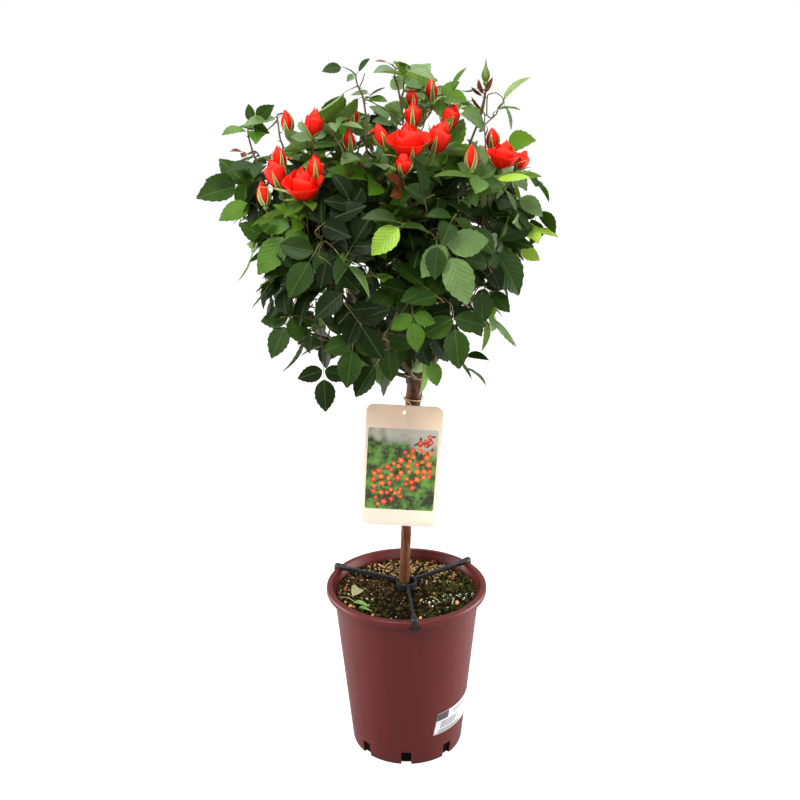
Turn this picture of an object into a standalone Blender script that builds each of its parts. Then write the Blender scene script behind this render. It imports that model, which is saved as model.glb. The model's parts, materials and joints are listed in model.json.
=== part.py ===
"""Potted tree rose: a grafted rose on one clear stem, in its nursery pot.

Metres, +Z up. The origin is the centre of the pot's flat underside, and the
front, where the care tag hangs, faces -Y. The stem carries a graft head, the
boughs leave the head, and each bough carries one mass of twigs, compound
leaves and flowers that keeps to its own part of the crown.
"""

import math
import random

import bmesh
import bpy
from mathutils import Matrix, Vector
from mathutils.bvhtree import BVHTree

# Clearance between pieces that touch on the real plant
GAP = 0.0003

# Angle between two faces above which their shared edge is a sharp one
SHARP_EDGE = math.radians(35)

# Pot: a tapered shell with a rolled rim and drain slots at its foot
POT_HEIGHT = 0.2075
POT_FOOT_RADIUS = 0.0674
POT_NECK_RADIUS = 0.0873
POT_RIM_RADIUS = 0.0957
POT_WALL = 0.0018
POT_FLOOR = 0.0022
RIM_DROP = 0.0070
RIM_ROLL = 0.0030
RIM_FILLET = 0.0006
RIM_SHOULDER = 0.0012
RIM_CREST = 0.0008
POT_SIDES = 40
SLOT_COUNT = 8
SLOT_WIDTH = 0.0120
SLOT_HEIGHT = 0.0130
SLOT_REACH = 0.0500
SLOT_TURN = math.radians(-1.7)

# Soil: fills the pot to a little under the rim
SOIL_EDGE_HEIGHT = 0.1945
SOIL_MOUND = 0.0030
SOIL_MOUND_RADII = (0.0550, 0.0250)
SOIL_MOUND_SHARE = 0.4

# Clear stem of the tree, and the knob where the crown was grafted on it
STEM_FOOT_RADIUS = 0.0062
STEM_WAIST_RADIUS = 0.0050
STEM_FLARE = 0.0008
STEM_FLARE_HEIGHT = 0.008
STEM_FOOT = Vector((-0.0032, 0.0010, SOIL_EDGE_HEIGHT + SOIL_MOUND + GAP))
HEAD_CENTRE = Vector((0.0110, 0.0000, 0.4640))
HEAD_RADIUS = 0.0115
GRAFT_SWELL = 0.0062
GRAFT_LENGTH = 0.0420
STEM_BOW = -0.0010
STEM_SIDES = 10
STEM_RINGS = 11
STEM_RING_SPREAD = 1.5
HEAD_SHOULDER = 2.4
HEAD_RINGS = [math.radians(a) for a in (-40, -12, 15, 42, 68)]

# Three-armed holder that clips on the rim and centres the stem
HUB_RADIUS = 0.0124
HUB_WALL = 0.0018
HUB_HEIGHT = 0.0090
HUB_TOP = 0.2100
HUB_SIDES = 18
ARM_ANGLES = [math.radians(a) for a in (-84.9, 35.5, 153.8)]
ARM_WIDTH = 0.0036
ARM_DEPTH = 0.0066
ARM_RISE = 0.0030
CLIP_THICKNESS = 0.0022
CLIP_WIDTH = 0.0068
CLIP_STEP = 0.0004
CLIP_DROP = 0.0112
CLIP_FOOT_WIDTH = 0.0130
CLIP_FOOT_HEIGHT = 0.0038
CLIP_REACH = 0.0120
RIB_REACH = 0.0060
BORE_REACH = 0.0100

# Care tag: a plain card that hangs on the stem from a tied string
TAG_WIDTH = 0.0868
TAG_LENGTH = 0.1505
TAG_THICKNESS = 0.0009
TAG_CORNER = 0.0090
TAG_CORNER_STEPS = 4
TAG_HOLE_RADIUS = 0.0024
TAG_HOLE_INSET = 0.0085
TAG_HOLE_SIDES = 12
TAG_TOP_CENTRE = Vector((-0.0001, -0.0150, 0.4350))
TAG_ROLL = math.radians(3.6)
TAG_PITCH = math.radians(3.0)
STRING_RADIUS = 0.0007
STRING_SIDES = 5
STRING_STEPS = 12
STRING_HEIGHT = 0.4390
STRING_SLACK = 0.98
STRING_EYE = TAG_HOLE_RADIUS - TAG_HOLE_INSET - STRING_RADIUS - GAP
KNOT_ANGLE = math.radians(218)
KNOT_FORM = ((0.0, -0.0018), (0.0016, -0.0007), (0.0016, 0.0007), (0.0, 0.0018))
KNOT_SIDES = 7

# The string's way over the card's top edge and through its hole: distance in
# front of the card (negative) or behind it, and height over its top edge
STRING_ROUTE = (
    (-0.00066, 0.0030),
    (-0.00220, 0.0012),
    (-0.00220, STRING_EYE * 0.6),
    (-0.00154, STRING_EYE),
    (0.00154, STRING_EYE),
    (0.00220, STRING_EYE * 0.6),
    (0.00264, 0.0010),
)

# Crown: the egg-shaped room of its leaves, and the size of the boughs
CROWN_CENTRE = Vector((-0.0200, 0.0000, 0.6030))
CROWN_HALF = Vector((0.1800, 0.1740, 0.1680))
BOUGH_ROOT_RADIUS = 0.0026
BOUGH_TIP_RADIUS = 0.0018
BOUGH_SIDES = 6
BOUGH_BENDS = 4
BOUGH_COLLAR = 0.0020
BOUGH_HANDLES = (0.40, 0.35)

# Masses: name, azimuth in degrees from +X, distance from the crown's axis,
# height, elevation in degrees at which its bough leaves the head, and the
# share of the way to the mass's middle at which the bough ends
MASSES = (
    ("low_front", 268, 0.088, 0.535, 8, 0.58),
    ("low_right", 338, 0.088, 0.540, 10, 0.58),
    ("low_right_back", 50, 0.088, 0.535, 8, 0.58),
    ("low_left_back", 124, 0.090, 0.530, 8, 0.58),
    ("low_left", 196, 0.096, 0.528, 10, 0.58),
    ("high_front_left", 228, 0.112, 0.636, 42, 0.64),
    ("high_front_right", 292, 0.106, 0.640, 42, 0.64),
    ("high_right", 350, 0.108, 0.642, 42, 0.64),
    ("high_right_back", 48, 0.106, 0.642, 42, 0.64),
    ("high_left_back", 116, 0.108, 0.640, 42, 0.64),
    ("high_left", 176, 0.118, 0.640, 42, 0.64),
    ("top_front", 262, 0.038, 0.700, 71, 0.68),
    ("top_back", 82, 0.042, 0.700, 71, 0.68),
)

# Flowers: kind, place of the flower's base, and its height
FLOWERS = (
    ("open", (-0.103, -0.095, 0.668), 0.032),
    ("half", (-0.129, -0.085, 0.683), 0.030),
    ("bud", (-0.144, -0.080, 0.660), 0.022),
    ("half", (-0.100, -0.050, 0.722), 0.026),
    ("bud", (-0.127, -0.040, 0.724), 0.022),
    ("bud", (-0.056, -0.040, 0.738), 0.024),
    ("bud", (-0.024, -0.085, 0.714), 0.024),
    ("open", (0.000, -0.085, 0.700), 0.034),
    ("bud", (0.010, -0.030, 0.752), 0.024),
    ("half", (0.034, -0.060, 0.708), 0.034),
    ("bud", (0.030, -0.020, 0.766), 0.022),
    ("half", (0.048, -0.030, 0.734), 0.030),
    ("bud", (0.068, -0.070, 0.690), 0.026),
    ("half", (0.096, -0.052, 0.690), 0.036),
    ("bud", (0.092, -0.020, 0.716), 0.024),
    ("bud", (0.121, -0.030, 0.690), 0.024),
    ("green", (0.080, 0.000, 0.780), 0.020),
    ("open", (0.054, 0.105, 0.700), 0.030),
    ("bud", (0.024, 0.070, 0.745), 0.024),
    ("open", (-0.061, 0.110, 0.702), 0.030),
    ("half", (-0.116, 0.075, 0.712), 0.028),
)

# Each kind of flower is a turned form: its sides, and its radii and heights
# as shares of the flower's height
FLOWER_FORMS = {
    "open": (7, ((0, 0), (0.42, 0.10), (0.66, 0.55), (0.62, 0.86), (0, 0.95))),
    "half": (6, ((0, 0), (0.30, 0.16), (0.40, 0.55), (0.24, 0.90), (0, 1.0))),
    "bud": (5, ((0, 0), (0.24, 0.20), (0.28, 0.50), (0, 1.0))),
    "green": (5, ((0, 0), (0.22, 0.16), (0.22, 0.36), (0, 1.0))),
}

# Share of its height that a flower sits down over its stalk, how much it
# turns upward, how far its stalk sags, and the place out from its mass's
# middle that it is drawn to, by steps, where its cell is too narrow
FLOWER_SEAT = 0.14
FLOWER_RISE = 1.4
FLOWER_SAG = 0.006
FLOWER_ROOT = 0.75
FLOWER_PULL = 0.070
FLOWER_PULL_STEP = 0.08

# Shoots that stand out of the crown: the place of each one's last leaf
SHOOTS = (
    (-0.178, -0.020, 0.668),
    (-0.170, -0.012, 0.712),
    (-0.074, -0.032, 0.762),
    (-0.036, -0.040, 0.766),
    (0.000, 0.040, 0.768),
    (0.044, 0.040, 0.756),
    (0.102, 0.010, 0.748),
    (0.114, -0.010, 0.676),
    (0.142, 0.022, 0.612),
    (0.084, -0.030, 0.484),
    (-0.076, -0.050, 0.480),
    (-0.124, -0.020, 0.505),
    (-0.156, -0.008, 0.544),
    (0.046, 0.070, 0.484),
    (-0.066, 0.084, 0.482),
    (0.070, 0.130, 0.650),
    (-0.076, 0.145, 0.655),
    (-0.116, 0.122, 0.645),
    (0.010, -0.120, 0.640),
    (-0.050, 0.148, 0.672),
)

# Stem of a mass: how far out of the middle it ends, where it bends, its
# sides, and how much thicker it is there than a twig
SEED = 16
LEADER_REACH = 0.006
LEADER_BEND = 0.45
LEADER_SIDES = 5
LEADER_SWELL = 1.3

# Places along the outer half of that stem where shoots and twigs spring
SHOOT_ROOT = 0.3
SHOOT_ROOT_STEP = 0.2
TWIG_ROOTS = (0.1, 0.95)

# Twigs, which arch, end in a leaf and carry side leaves at shares of their length
TWIG_RADIUS = 0.0012
TWIG_ARCH = 0.004
TWIG_STRAY = 0.003
TWIG_TIP_STRAY = 0.001
TWIG_LEAD = 1.5
SIDE_LEAVES = (0.45, 0.76)
SIDE_LEAF_SIZES = (0.88, 1.08)

# A leaf is a petiole with three leaflets
PETIOLE_RADIUS = 0.0009
PETIOLE_LENGTH = 0.016
PETIOLE_LENGTHS = (0.8, 1.3)
LEAFLET_LENGTH = 0.039
LEAFLET_WIDTH = 0.0270
LEAFLET_WIDEST = 0.50
LEAFLET_THICKNESS = 0.0013
LEAFLET_DROOP = 0.12
SIDE_LEAFLET_SHARE = 0.85
SIDE_LEAFLET_ANGLE = math.radians(78)
LEAF_HUB = 0.0022
LEAF_HUB_BACK = math.radians(128)
LEAF_MIDDLE = 0.4
BLADE_FACES = 29

# How a leaf turns: outward, up or down with its place in the crown, and with
# its upper side to the light; leaves seen too nearly edge on turn out or fail
LEAF_OUTWARD = 0.5
LEAF_RISE = (0.6, -0.3)
LEAF_FACE_OUTWARD = 0.6
LEAF_FACE_LIGHT = Vector((0, -0.15, 0.7))
LEAF_FACE_STRAY = 0.7
LEAF_EDGE_ON = (0.5, 0.3)

# How the leaves of a mass share its room
LEAF_TRIES = 36
LEAF_SPACING = 0.012
TWIG_TRIES = 60
SPOTS_PER_MASS = 17
TARGET_TRIES = 120
TARGET_REACH = 0.095
TARGET_SHELL = (0.40, 0.74)
TARGET_MARGIN = 0.0081
CELL_MARGIN = 0.0006
LIMB_MARGIN = 0.0010
SPRAY_ROOM = 0.062


def clear_scene():
    for obj in list(bpy.data.objects):
        bpy.data.objects.remove(obj, do_unlink=True)


def make_material(name, colour, roughness):
    material = bpy.data.materials.new(name)
    material.use_nodes = True
    shader = material.node_tree.nodes["Principled BSDF"]
    shader.inputs["Base Color"].default_value = (*colour, 1.0)
    shader.inputs["Roughness"].default_value = roughness
    material.diffuse_color = (*colour, 1.0)
    return material


def make_object(name, verts, faces, material, smooth=False):
    mesh = bpy.data.meshes.new(name)
    mesh.from_pydata([tuple(v) for v in verts], [], faces)
    mesh.update()
    if smooth:
        mesh.shade_smooth()
        mesh.set_sharp_from_angle(angle=SHARP_EDGE)
    mesh.materials.append(material)
    obj = bpy.data.objects.new(name, mesh)
    bpy.context.scene.collection.objects.link(obj)
    return obj


def lathe(profile, sides, turn=0.0):
    """Turned solid from (radius, height) points that run up its outer side.

    A point at radius 0 becomes one vertex. A profile with none closes on
    itself as a ring.
    """
    verts, rings = [], []
    for radius, height in profile:
        if radius == 0.0:
            rings.append([len(verts)])
            verts.append(Vector((0.0, 0.0, height)))
            continue
        rings.append(list(range(len(verts), len(verts) + sides)))
        for i in range(sides):
            angle = turn + 2 * math.pi * i / sides
            verts.append(Vector((radius * math.cos(angle), radius * math.sin(angle), height)))
    closed = min(radius for radius, _ in profile) > 0.0
    faces = []
    for k in range(len(rings) - (0 if closed else 1)):
        low, high = rings[k], rings[(k + 1) % len(rings)]
        for i in range(sides):
            j = (i + 1) % sides
            if len(low) == 1:
                faces.append((low[0], high[j], high[i]))
            elif len(high) == 1:
                faces.append((low[i], low[j], high[0]))
            else:
                faces.append((low[i], low[j], high[j], high[i]))
    return verts, faces


def side_axes(direction):
    """Two unit vectors at right angles to a direction and to each other."""
    helper = Vector((0, 0, 1)) if abs(direction.z) < 0.9 else Vector((1, 0, 0))
    first = direction.cross(helper).normalized()
    return first, direction.cross(first).normalized()


def tube(points, radii, sides, closed=False):
    """Solid round a line of points, with flat ends, or a closed loop."""
    count = len(points)
    tangents = []
    for k in range(count):
        after = points[(k + 1) % count] if closed else points[min(k + 1, count - 1)]
        before = points[k - 1] if closed else points[max(k - 1, 0)]
        tangents.append((after - before).normalized())
    first, _ = side_axes(tangents[0])
    verts, faces = [], []
    for point, tangent, radius in zip(points, tangents, radii):
        first = (first - tangent * first.dot(tangent)).normalized()
        second = tangent.cross(first)
        for i in range(sides):
            angle = 2 * math.pi * i / sides
            verts.append(point + (first * math.cos(angle) + second * math.sin(angle)) * radius)
    for k in range(count if closed else count - 1):
        for i in range(sides):
            j = (i + 1) % sides
            low, high = k * sides, (k + 1) % count * sides
            faces.append((low + i, low + j, high + j, high + i))
    if not closed:
        faces.append(tuple(reversed(range(sides))))
        faces.append(tuple(range((count - 1) * sides, count * sides)))
    return verts, faces


def bezier(start, start_handle, end_handle, end, steps):
    points = []
    for k in range(steps):
        t = k / (steps - 1)
        u = 1 - t
        points.append(
            start * u**3 + start_handle * 3 * u * u * t + end_handle * 3 * u * t * t + end * t**3
        )
    return points


def box_solid(low, high):
    across, along, up = zip(low, high)
    verts = [Vector((x, y, z)) for x in across for y in along for z in up]
    faces = [(0, 1, 3, 2), (4, 6, 7, 5), (0, 4, 5, 1), (2, 3, 7, 6), (0, 2, 6, 4), (1, 5, 7, 3)]
    return verts, faces


def moved(solid, matrix):
    return [matrix @ v for v in solid[0]], solid[1]


def combine(base, solids, operation, solver="EXACT"):
    """Boolean of an object with a list of solids, applied."""
    helpers = bpy.data.collections.new("helpers")
    bpy.context.scene.collection.children.link(helpers)
    for verts, faces in solids:
        mesh = bpy.data.meshes.new("helper")
        mesh.from_pydata([tuple(v) for v in verts], [], faces)
        helpers.objects.link(bpy.data.objects.new("helper", mesh))
    modifier = base.modifiers.new("combine", "BOOLEAN")
    modifier.operation = operation
    modifier.operand_type = "COLLECTION"
    modifier.collection = helpers
    modifier.solver = solver
    bpy.context.view_layer.update()
    graph = bpy.context.evaluated_depsgraph_get()
    joined = bpy.data.meshes.new_from_object(base.evaluated_get(graph))
    base.modifiers.remove(modifier)
    for helper in list(helpers.objects):
        bpy.data.objects.remove(helper, do_unlink=True)
    bpy.data.collections.remove(helpers)
    joined.name = base.name
    base.data = joined


def volume_of(faces):
    total = 0.0
    for face in faces:
        first = face.verts[0].co
        for second, third in zip(face.verts[1:-1], face.verts[2:]):
            total += first.dot(second.co.cross(third.co)) / 6
    return total


def keep_main_body(obj):
    """Keeps the outer skin of the largest body: fins and scraps go, and hollows fill."""
    mesh = bmesh.new()
    mesh.from_mesh(obj.data)
    bmesh.ops.triangulate(mesh, faces=mesh.faces)
    by_corners = {}
    for face in mesh.faces:
        by_corners.setdefault(frozenset(vert.index for vert in face.verts), []).append(face)
    fins = [face for faces in by_corners.values() if len(faces) == 2 for face in faces]
    bmesh.ops.delete(mesh, geom=fins, context="FACES")
    unseen, islands = set(mesh.faces), []
    while unseen:
        island, edge_of_search = set(), [unseen.pop()]
        while edge_of_search:
            face = edge_of_search.pop()
            island.add(face)
            plain_edges = (edge for edge in face.edges if len(edge.link_faces) == 2)
            for neighbour in (other for edge in plain_edges for other in edge.link_faces):
                if neighbour in unseen:
                    unseen.discard(neighbour)
                    edge_of_search.append(neighbour)
        islands.append(island)
    main = max((island for island in islands if volume_of(island) > 0), key=len)
    spare = [face for island in islands if island is not main for face in island]
    bmesh.ops.delete(mesh, geom=spare, context="FACES")
    mesh.to_mesh(obj.data)
    mesh.free()


def pot_radius(height):
    """Outer radius of the pot's straight wall at a height."""
    neck = POT_HEIGHT - RIM_DROP
    return POT_FOOT_RADIUS + (POT_NECK_RADIUS - POT_FOOT_RADIUS) * height / neck


def make_pot(material):
    """Tapered shell with a lip that rolls out and down, and slots at its foot."""
    neck = POT_HEIGHT - RIM_DROP
    crest = POT_RIM_RADIUS - RIM_ROLL
    profile = [
        (0.0, 0.0),
        (pot_radius(0.0), 0.0),
        (pot_radius(neck), neck),
        (pot_radius(neck) + RIM_SHOULDER + POT_WALL, POT_HEIGHT - POT_WALL),
        (crest, POT_HEIGHT - POT_WALL),
        (POT_RIM_RADIUS - POT_WALL, POT_HEIGHT - RIM_ROLL - RIM_FILLET),
        (POT_RIM_RADIUS - POT_WALL, POT_HEIGHT - RIM_DROP),
        (POT_RIM_RADIUS, POT_HEIGHT - RIM_DROP),
        (POT_RIM_RADIUS, POT_HEIGHT - RIM_ROLL),
        (crest + RIM_CREST, POT_HEIGHT),
        (pot_radius(neck) + RIM_SHOULDER, POT_HEIGHT),
        (pot_radius(neck) - POT_WALL, neck),
        (pot_radius(POT_FLOOR) - POT_WALL, POT_FLOOR),
        (0.0, POT_FLOOR),
    ]
    verts, faces = lathe(profile, POT_SIDES)
    pot = make_object("pot", verts, faces, material, smooth=True)
    half = SLOT_WIDTH / 2
    slot = box_solid((SLOT_REACH, -half, -SLOT_HEIGHT), (POT_NECK_RADIUS, half, SLOT_HEIGHT))
    slots = []
    for k in range(SLOT_COUNT):
        angle = SLOT_TURN - math.pi / 2 + 2 * math.pi * k / SLOT_COUNT
        slots.append(moved(slot, Matrix.Rotation(angle, 4, "Z")))
    combine(pot, slots, "DIFFERENCE")


def make_soil(material):
    """Root ball that fills the pot, with a low mound round the stem."""
    low = POT_FLOOR + GAP
    inner = POT_WALL + GAP
    foot, crown = SOIL_MOUND_RADII
    profile = [
        (0.0, low),
        (pot_radius(low) - inner, low),
        (pot_radius(SOIL_EDGE_HEIGHT) - inner, SOIL_EDGE_HEIGHT),
        (foot, SOIL_EDGE_HEIGHT + SOIL_MOUND * SOIL_MOUND_SHARE),
        (crown, SOIL_EDGE_HEIGHT + SOIL_MOUND),
        (0.0, SOIL_EDGE_HEIGHT + SOIL_MOUND),
    ]
    verts, faces = lathe(profile, POT_SIDES)
    make_object("soil", verts, faces, material)


def stem_centre(height):
    """The clear stem's middle line, which bows slightly between foot and head."""
    share = (height - STEM_FOOT.z) / (HEAD_CENTRE.z - STEM_FOOT.z)
    return STEM_FOOT.lerp(HEAD_CENTRE, share) + Vector((STEM_BOW, 0, 0)) * math.sin(math.pi * share)


def stem_radius(height):
    share = (height - STEM_FOOT.z) / (HEAD_CENTRE.z - STEM_FOOT.z)
    taper = STEM_FOOT_RADIUS + (STEM_WAIST_RADIUS - STEM_FOOT_RADIUS) * share
    flare = STEM_FLARE * math.exp(-(height - STEM_FOOT.z) / STEM_FLARE_HEIGHT)
    graft = GRAFT_SWELL * math.exp(-(((HEAD_CENTRE.z - height) / GRAFT_LENGTH) ** 2))
    return taper + flare + graft


def make_trunk(material):
    """Clear stem with its flare at the soil and the graft knob at its top."""
    shoulder = HEAD_CENTRE.z - HEAD_RADIUS * HEAD_SHOULDER
    points, radii = [], []
    for k in range(STEM_RINGS):
        share = (k / (STEM_RINGS - 1)) ** STEM_RING_SPREAD
        height = STEM_FOOT.z + (shoulder - STEM_FOOT.z) * share
        points.append(stem_centre(height))
        radii.append(stem_radius(height))
    for turn in HEAD_RINGS:
        points.append(HEAD_CENTRE + Vector((0, 0, HEAD_RADIUS * math.sin(turn))))
        radii.append(HEAD_RADIUS * math.cos(turn))
    verts, faces = tube(points, radii, STEM_SIDES)
    for vert in verts[:STEM_SIDES]:
        vert.z = STEM_FOOT.z
    make_object("trunk", verts, faces, material, smooth=True)


def holder_arm(angle):
    """One rib from the hub to the rim, with the clip that hooks over the rim."""
    rim = POT_RIM_RADIUS + GAP
    rib_top = POT_HEIGHT + ARM_RISE
    inner = HUB_RADIUS - HUB_WALL * 0.5
    outer = pot_radius(POT_HEIGHT)
    half = ARM_WIDTH / 2
    rib = box_solid((inner, -half, rib_top - ARM_DEPTH), (outer - RIB_REACH, half, rib_top))
    over = box_solid(
        (outer - CLIP_REACH, -CLIP_WIDTH / 2, POT_HEIGHT + GAP),
        (rim + CLIP_THICKNESS + CLIP_STEP, CLIP_WIDTH / 2, rib_top + CLIP_STEP),
    )
    down = box_solid(
        (rim, CLIP_STEP - CLIP_WIDTH / 2, POT_HEIGHT - CLIP_DROP),
        (rim + CLIP_THICKNESS, CLIP_WIDTH / 2 - CLIP_STEP, rib_top - CLIP_STEP),
    )
    foot_top = POT_HEIGHT - CLIP_DROP + CLIP_FOOT_HEIGHT
    foot = box_solid(
        (rim - CLIP_THICKNESS, -CLIP_FOOT_WIDTH / 2, POT_HEIGHT - CLIP_DROP - CLIP_STEP),
        (rim + CLIP_THICKNESS + CLIP_STEP * 2, CLIP_FOOT_WIDTH / 2, foot_top),
    )
    turn = Matrix.Rotation(angle, 4, "Z")
    return [moved(solid, turn) for solid in (rib, over, down, foot)]


def make_holder(material):
    """Hub ring round the stem, with three ribs out to clips on the rim."""
    low, high = HUB_TOP - HUB_HEIGHT, HUB_TOP
    hole = HUB_RADIUS - HUB_WALL
    profile = [(hole, low), (HUB_RADIUS, low), (HUB_RADIUS, high), (hole, high)]
    verts, faces = lathe(profile, HUB_SIDES)
    holder = make_object("stem_holder", verts, faces, material, smooth=True)
    combine(holder, [solid for angle in ARM_ANGLES for solid in holder_arm(angle)], "UNION")
    below, above = low - BORE_REACH, high + BORE_REACH
    bore = lathe([(0.0, below), (hole, below), (hole, above), (0.0, above)], HUB_SIDES)
    combine(holder, [bore], "DIFFERENCE")
    keep_main_body(holder)


def tag_frame():
    """Matrix from the card's own axes, X across and Z up from its top edge."""
    turn = Matrix.Rotation(TAG_ROLL, 4, "Y") @ Matrix.Rotation(TAG_PITCH, 4, "X")
    return Matrix.Translation(TAG_TOP_CENTRE) @ turn


def make_tag(material):
    """Card with round corners and a punched hole."""
    outline = []
    half = TAG_WIDTH / 2 - TAG_CORNER
    corners = ((half, -TAG_CORNER, 0), (-half, -TAG_CORNER, 90))
    corners += ((-half, TAG_CORNER - TAG_LENGTH, 180), (half, TAG_CORNER - TAG_LENGTH, 270))
    for x, z, start in corners:
        for k in range(TAG_CORNER_STEPS + 1):
            angle = math.radians(start + 90 * k / TAG_CORNER_STEPS)
            outline.append((x + TAG_CORNER * math.cos(angle), z + TAG_CORNER * math.sin(angle)))
    front, back = -TAG_THICKNESS / 2, TAG_THICKNESS / 2
    verts = [Vector((x, y, z)) for y in (front, back) for x, z in outline]
    count = len(outline)
    faces = [tuple(range(count)), tuple(reversed(range(count, 2 * count)))]
    faces += [(j, i, i + count, j + count) for i, j in ((k, (k + 1) % count) for k in range(count))]
    verts, faces = moved((verts, faces), tag_frame())
    tag = make_object("care_tag", verts, faces, material)
    hole, reach = TAG_HOLE_RADIUS, TAG_HOLE_RADIUS * 2
    punch = lathe([(0.0, -reach), (hole, -reach), (hole, reach), (0.0, reach)], TAG_HOLE_SIDES)
    place = Matrix.Translation((0, 0, -TAG_HOLE_INSET)) @ Matrix.Rotation(math.pi / 2, 4, "X")
    combine(tag, [moved(punch, tag_frame() @ place)], "DIFFERENCE")


def make_string(material):
    """Loop round the stem, fused to the loop that carries the card."""
    ring = []
    reach = (stem_radius(STRING_HEIGHT) + STRING_RADIUS + GAP * 2) * STRING_SLACK
    centre = stem_centre(STRING_HEIGHT)
    for k in range(STRING_STEPS):
        angle = 2 * math.pi * k / STRING_STEPS
        rise = STRING_RADIUS * math.sin(angle)
        ring.append(centre + Vector((reach * math.cos(angle), reach * math.sin(angle), rise)))
    knot = centre + Vector((math.cos(KNOT_ANGLE), math.sin(KNOT_ANGLE), 0.0)) * (reach + GAP * 2)
    route = [knot] + [tag_frame() @ Vector((0, y, z)) for y, z in STRING_ROUTE] + [knot]
    radii = [STRING_RADIUS] * STRING_STEPS
    string = make_object("tag_string", *tube(ring, radii, STRING_SIDES, closed=True), material)
    front_strand = tube(route[:6], [STRING_RADIUS] * 6, STRING_SIDES)
    back_strand = tube([route[4].lerp(route[5], 0.5)] + route[5:], [STRING_RADIUS * 0.85] * 5, STRING_SIDES)
    lump = lathe(KNOT_FORM, KNOT_SIDES)
    combine(string, [front_strand, back_strand, moved(lump, Matrix.Translation(knot))], "UNION")
    keep_main_body(string)


def mass_centre(mass):
    _, azimuth, distance, height, _, _ = mass
    angle = math.radians(azimuth)
    x = CROWN_CENTRE.x + distance * math.cos(angle)
    y = CROWN_CENTRE.y + distance * math.sin(angle)
    return Vector((x, y, height))


def bough_line(mass):
    """The bough leaves the knob at its own elevation and turns to its mass.

    It is straight for a short collar at each end, so that its flat ends lie
    square to the knob and to the stem of the mass.
    """
    _, azimuth, _, _, elevation, share = mass
    turn, rise = math.radians(azimuth), math.radians(elevation)
    flat = math.cos(rise)
    leave = Vector((math.cos(turn) * flat, math.sin(turn) * flat, math.sin(rise)))
    root = HEAD_CENTRE + leave * (HEAD_RADIUS + GAP)
    tip = HEAD_CENTRE.lerp(mass_centre(mass), share)
    arrive = (mass_centre(mass) - tip).normalized()
    first, second = (handle * (tip - root).length for handle in BOUGH_HANDLES)
    line = bezier(root, root + leave * first, tip - arrive * second, tip, BOUGH_BENDS)
    return [root, root + leave * BOUGH_COLLAR] + line[1:-1] + [tip - arrive * BOUGH_COLLAR, tip]


def bough_radii():
    rings = BOUGH_BENDS + 2
    taper = BOUGH_TIP_RADIUS - BOUGH_ROOT_RADIUS
    return [BOUGH_ROOT_RADIUS + taper * k / (rings - 1) for k in range(rings)]


def make_bough(mass, material):
    verts, faces = tube(bough_line(mass), bough_radii(), BOUGH_SIDES)
    make_object("bough_" + mass[0], verts, faces, material, smooth=True)


def crown_share(point):
    """How far out a point lies, as a share of the way to the edge of the crown's egg."""
    away = point - CROWN_CENTRE
    return Vector((away.x / CROWN_HALF.x, away.y / CROWN_HALF.y, away.z / CROWN_HALF.z)).length


def limb_trees():
    """Search trees of the trunk and boughs, each thicker by the clearance to keep."""
    length = HEAD_CENTRE.z - STEM_FOOT.z
    heights = [STEM_FOOT.z + length * k / (STEM_RINGS - 1) for k in range(STEM_RINGS)]
    head = [HEAD_CENTRE + Vector((0, 0, z)) for z in (-HEAD_RADIUS, HEAD_RADIUS)]
    lines = [([stem_centre(z) for z in heights], [stem_radius(z) for z in heights])]
    lines.append((head, [HEAD_RADIUS, HEAD_RADIUS]))
    lines += [(bough_line(mass), bough_radii()) for mass in MASSES]
    trees = []
    for points, radii in lines:
        verts, faces = tube(points, [radius + LIMB_MARGIN for radius in radii], BOUGH_SIDES)
        trees.append(BVHTree.FromPolygons(verts, faces))
    return trees


def leaf_solid(line, radius, direction, normal, size):
    """A petiole along a line and the three leaflets at its end, as one closed solid.

    The rings of the petiole run left, top, right. Its last ring is the back
    of a small hub, and each leaflet springs from two corners of the hub.
    """
    side = direction.cross(normal).normalized()
    normal = side.cross(direction).normalized()
    verts, faces = [], []
    for point in line[:-1]:
        verts += [
            point - side * radius - normal * radius * 0.5,
            point + normal * radius,
            point + side * radius - normal * radius * 0.5,
        ]
    node, rings = line[-1], len(line) - 1
    base = node - normal * radius * 0.5
    first = len(verts)
    front = SIDE_LEAFLET_ANGLE / 2
    for turn in (-LEAF_HUB_BACK, None, LEAF_HUB_BACK, front, -front):
        if turn is None:
            verts.append(node + normal * radius)
        else:
            verts.append(base + (direction * math.cos(turn) + side * math.sin(turn)) * LEAF_HUB)
    left_back, top, right_back, right_front, left_front = range(first, first + 5)
    faces.append((2, 1, 0))
    for k in range(rings):
        for i, j in ((0, 1), (1, 2), (2, 0)):
            faces.append((3 * k + i, 3 * k + j, 3 * k + 3 + j, 3 * k + 3 + i))
    faces.append((left_back, left_front, right_front))
    faces.append((left_back, right_front, right_back))
    springs = ((right_back, right_front), (right_front, left_front), (left_front, left_back))
    for (start, end), turn in zip(springs, (SIDE_LEAFLET_ANGLE, 0.0, -SIDE_LEAFLET_ANGLE)):
        ahead = direction * math.cos(turn) + side * math.sin(turn) - normal * LEAFLET_DROOP
        ahead.normalize()
        across = ahead.cross(normal).normalized()
        share = size * (SIDE_LEAFLET_SHARE if turn else 1.0)
        widest = base + ahead * LEAFLET_LENGTH * LEAFLET_WIDEST * share
        right, tip, left, crest = range(len(verts), len(verts) + 4)
        verts += [
            widest + across * LEAFLET_WIDTH * share / 2,
            base + ahead * LEAFLET_LENGTH * share,
            widest - across * LEAFLET_WIDTH * share / 2,
            widest + across.cross(ahead) * LEAFLET_THICKNESS,
        ]
        rim = (top, start, right, tip, left, end)
        faces += [(rim[k], rim[(k + 1) % 6], crest) for k in range(6)]
        faces += [(start, tip, right), (start, end, tip), (end, left, tip)]
    return verts, faces


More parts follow.
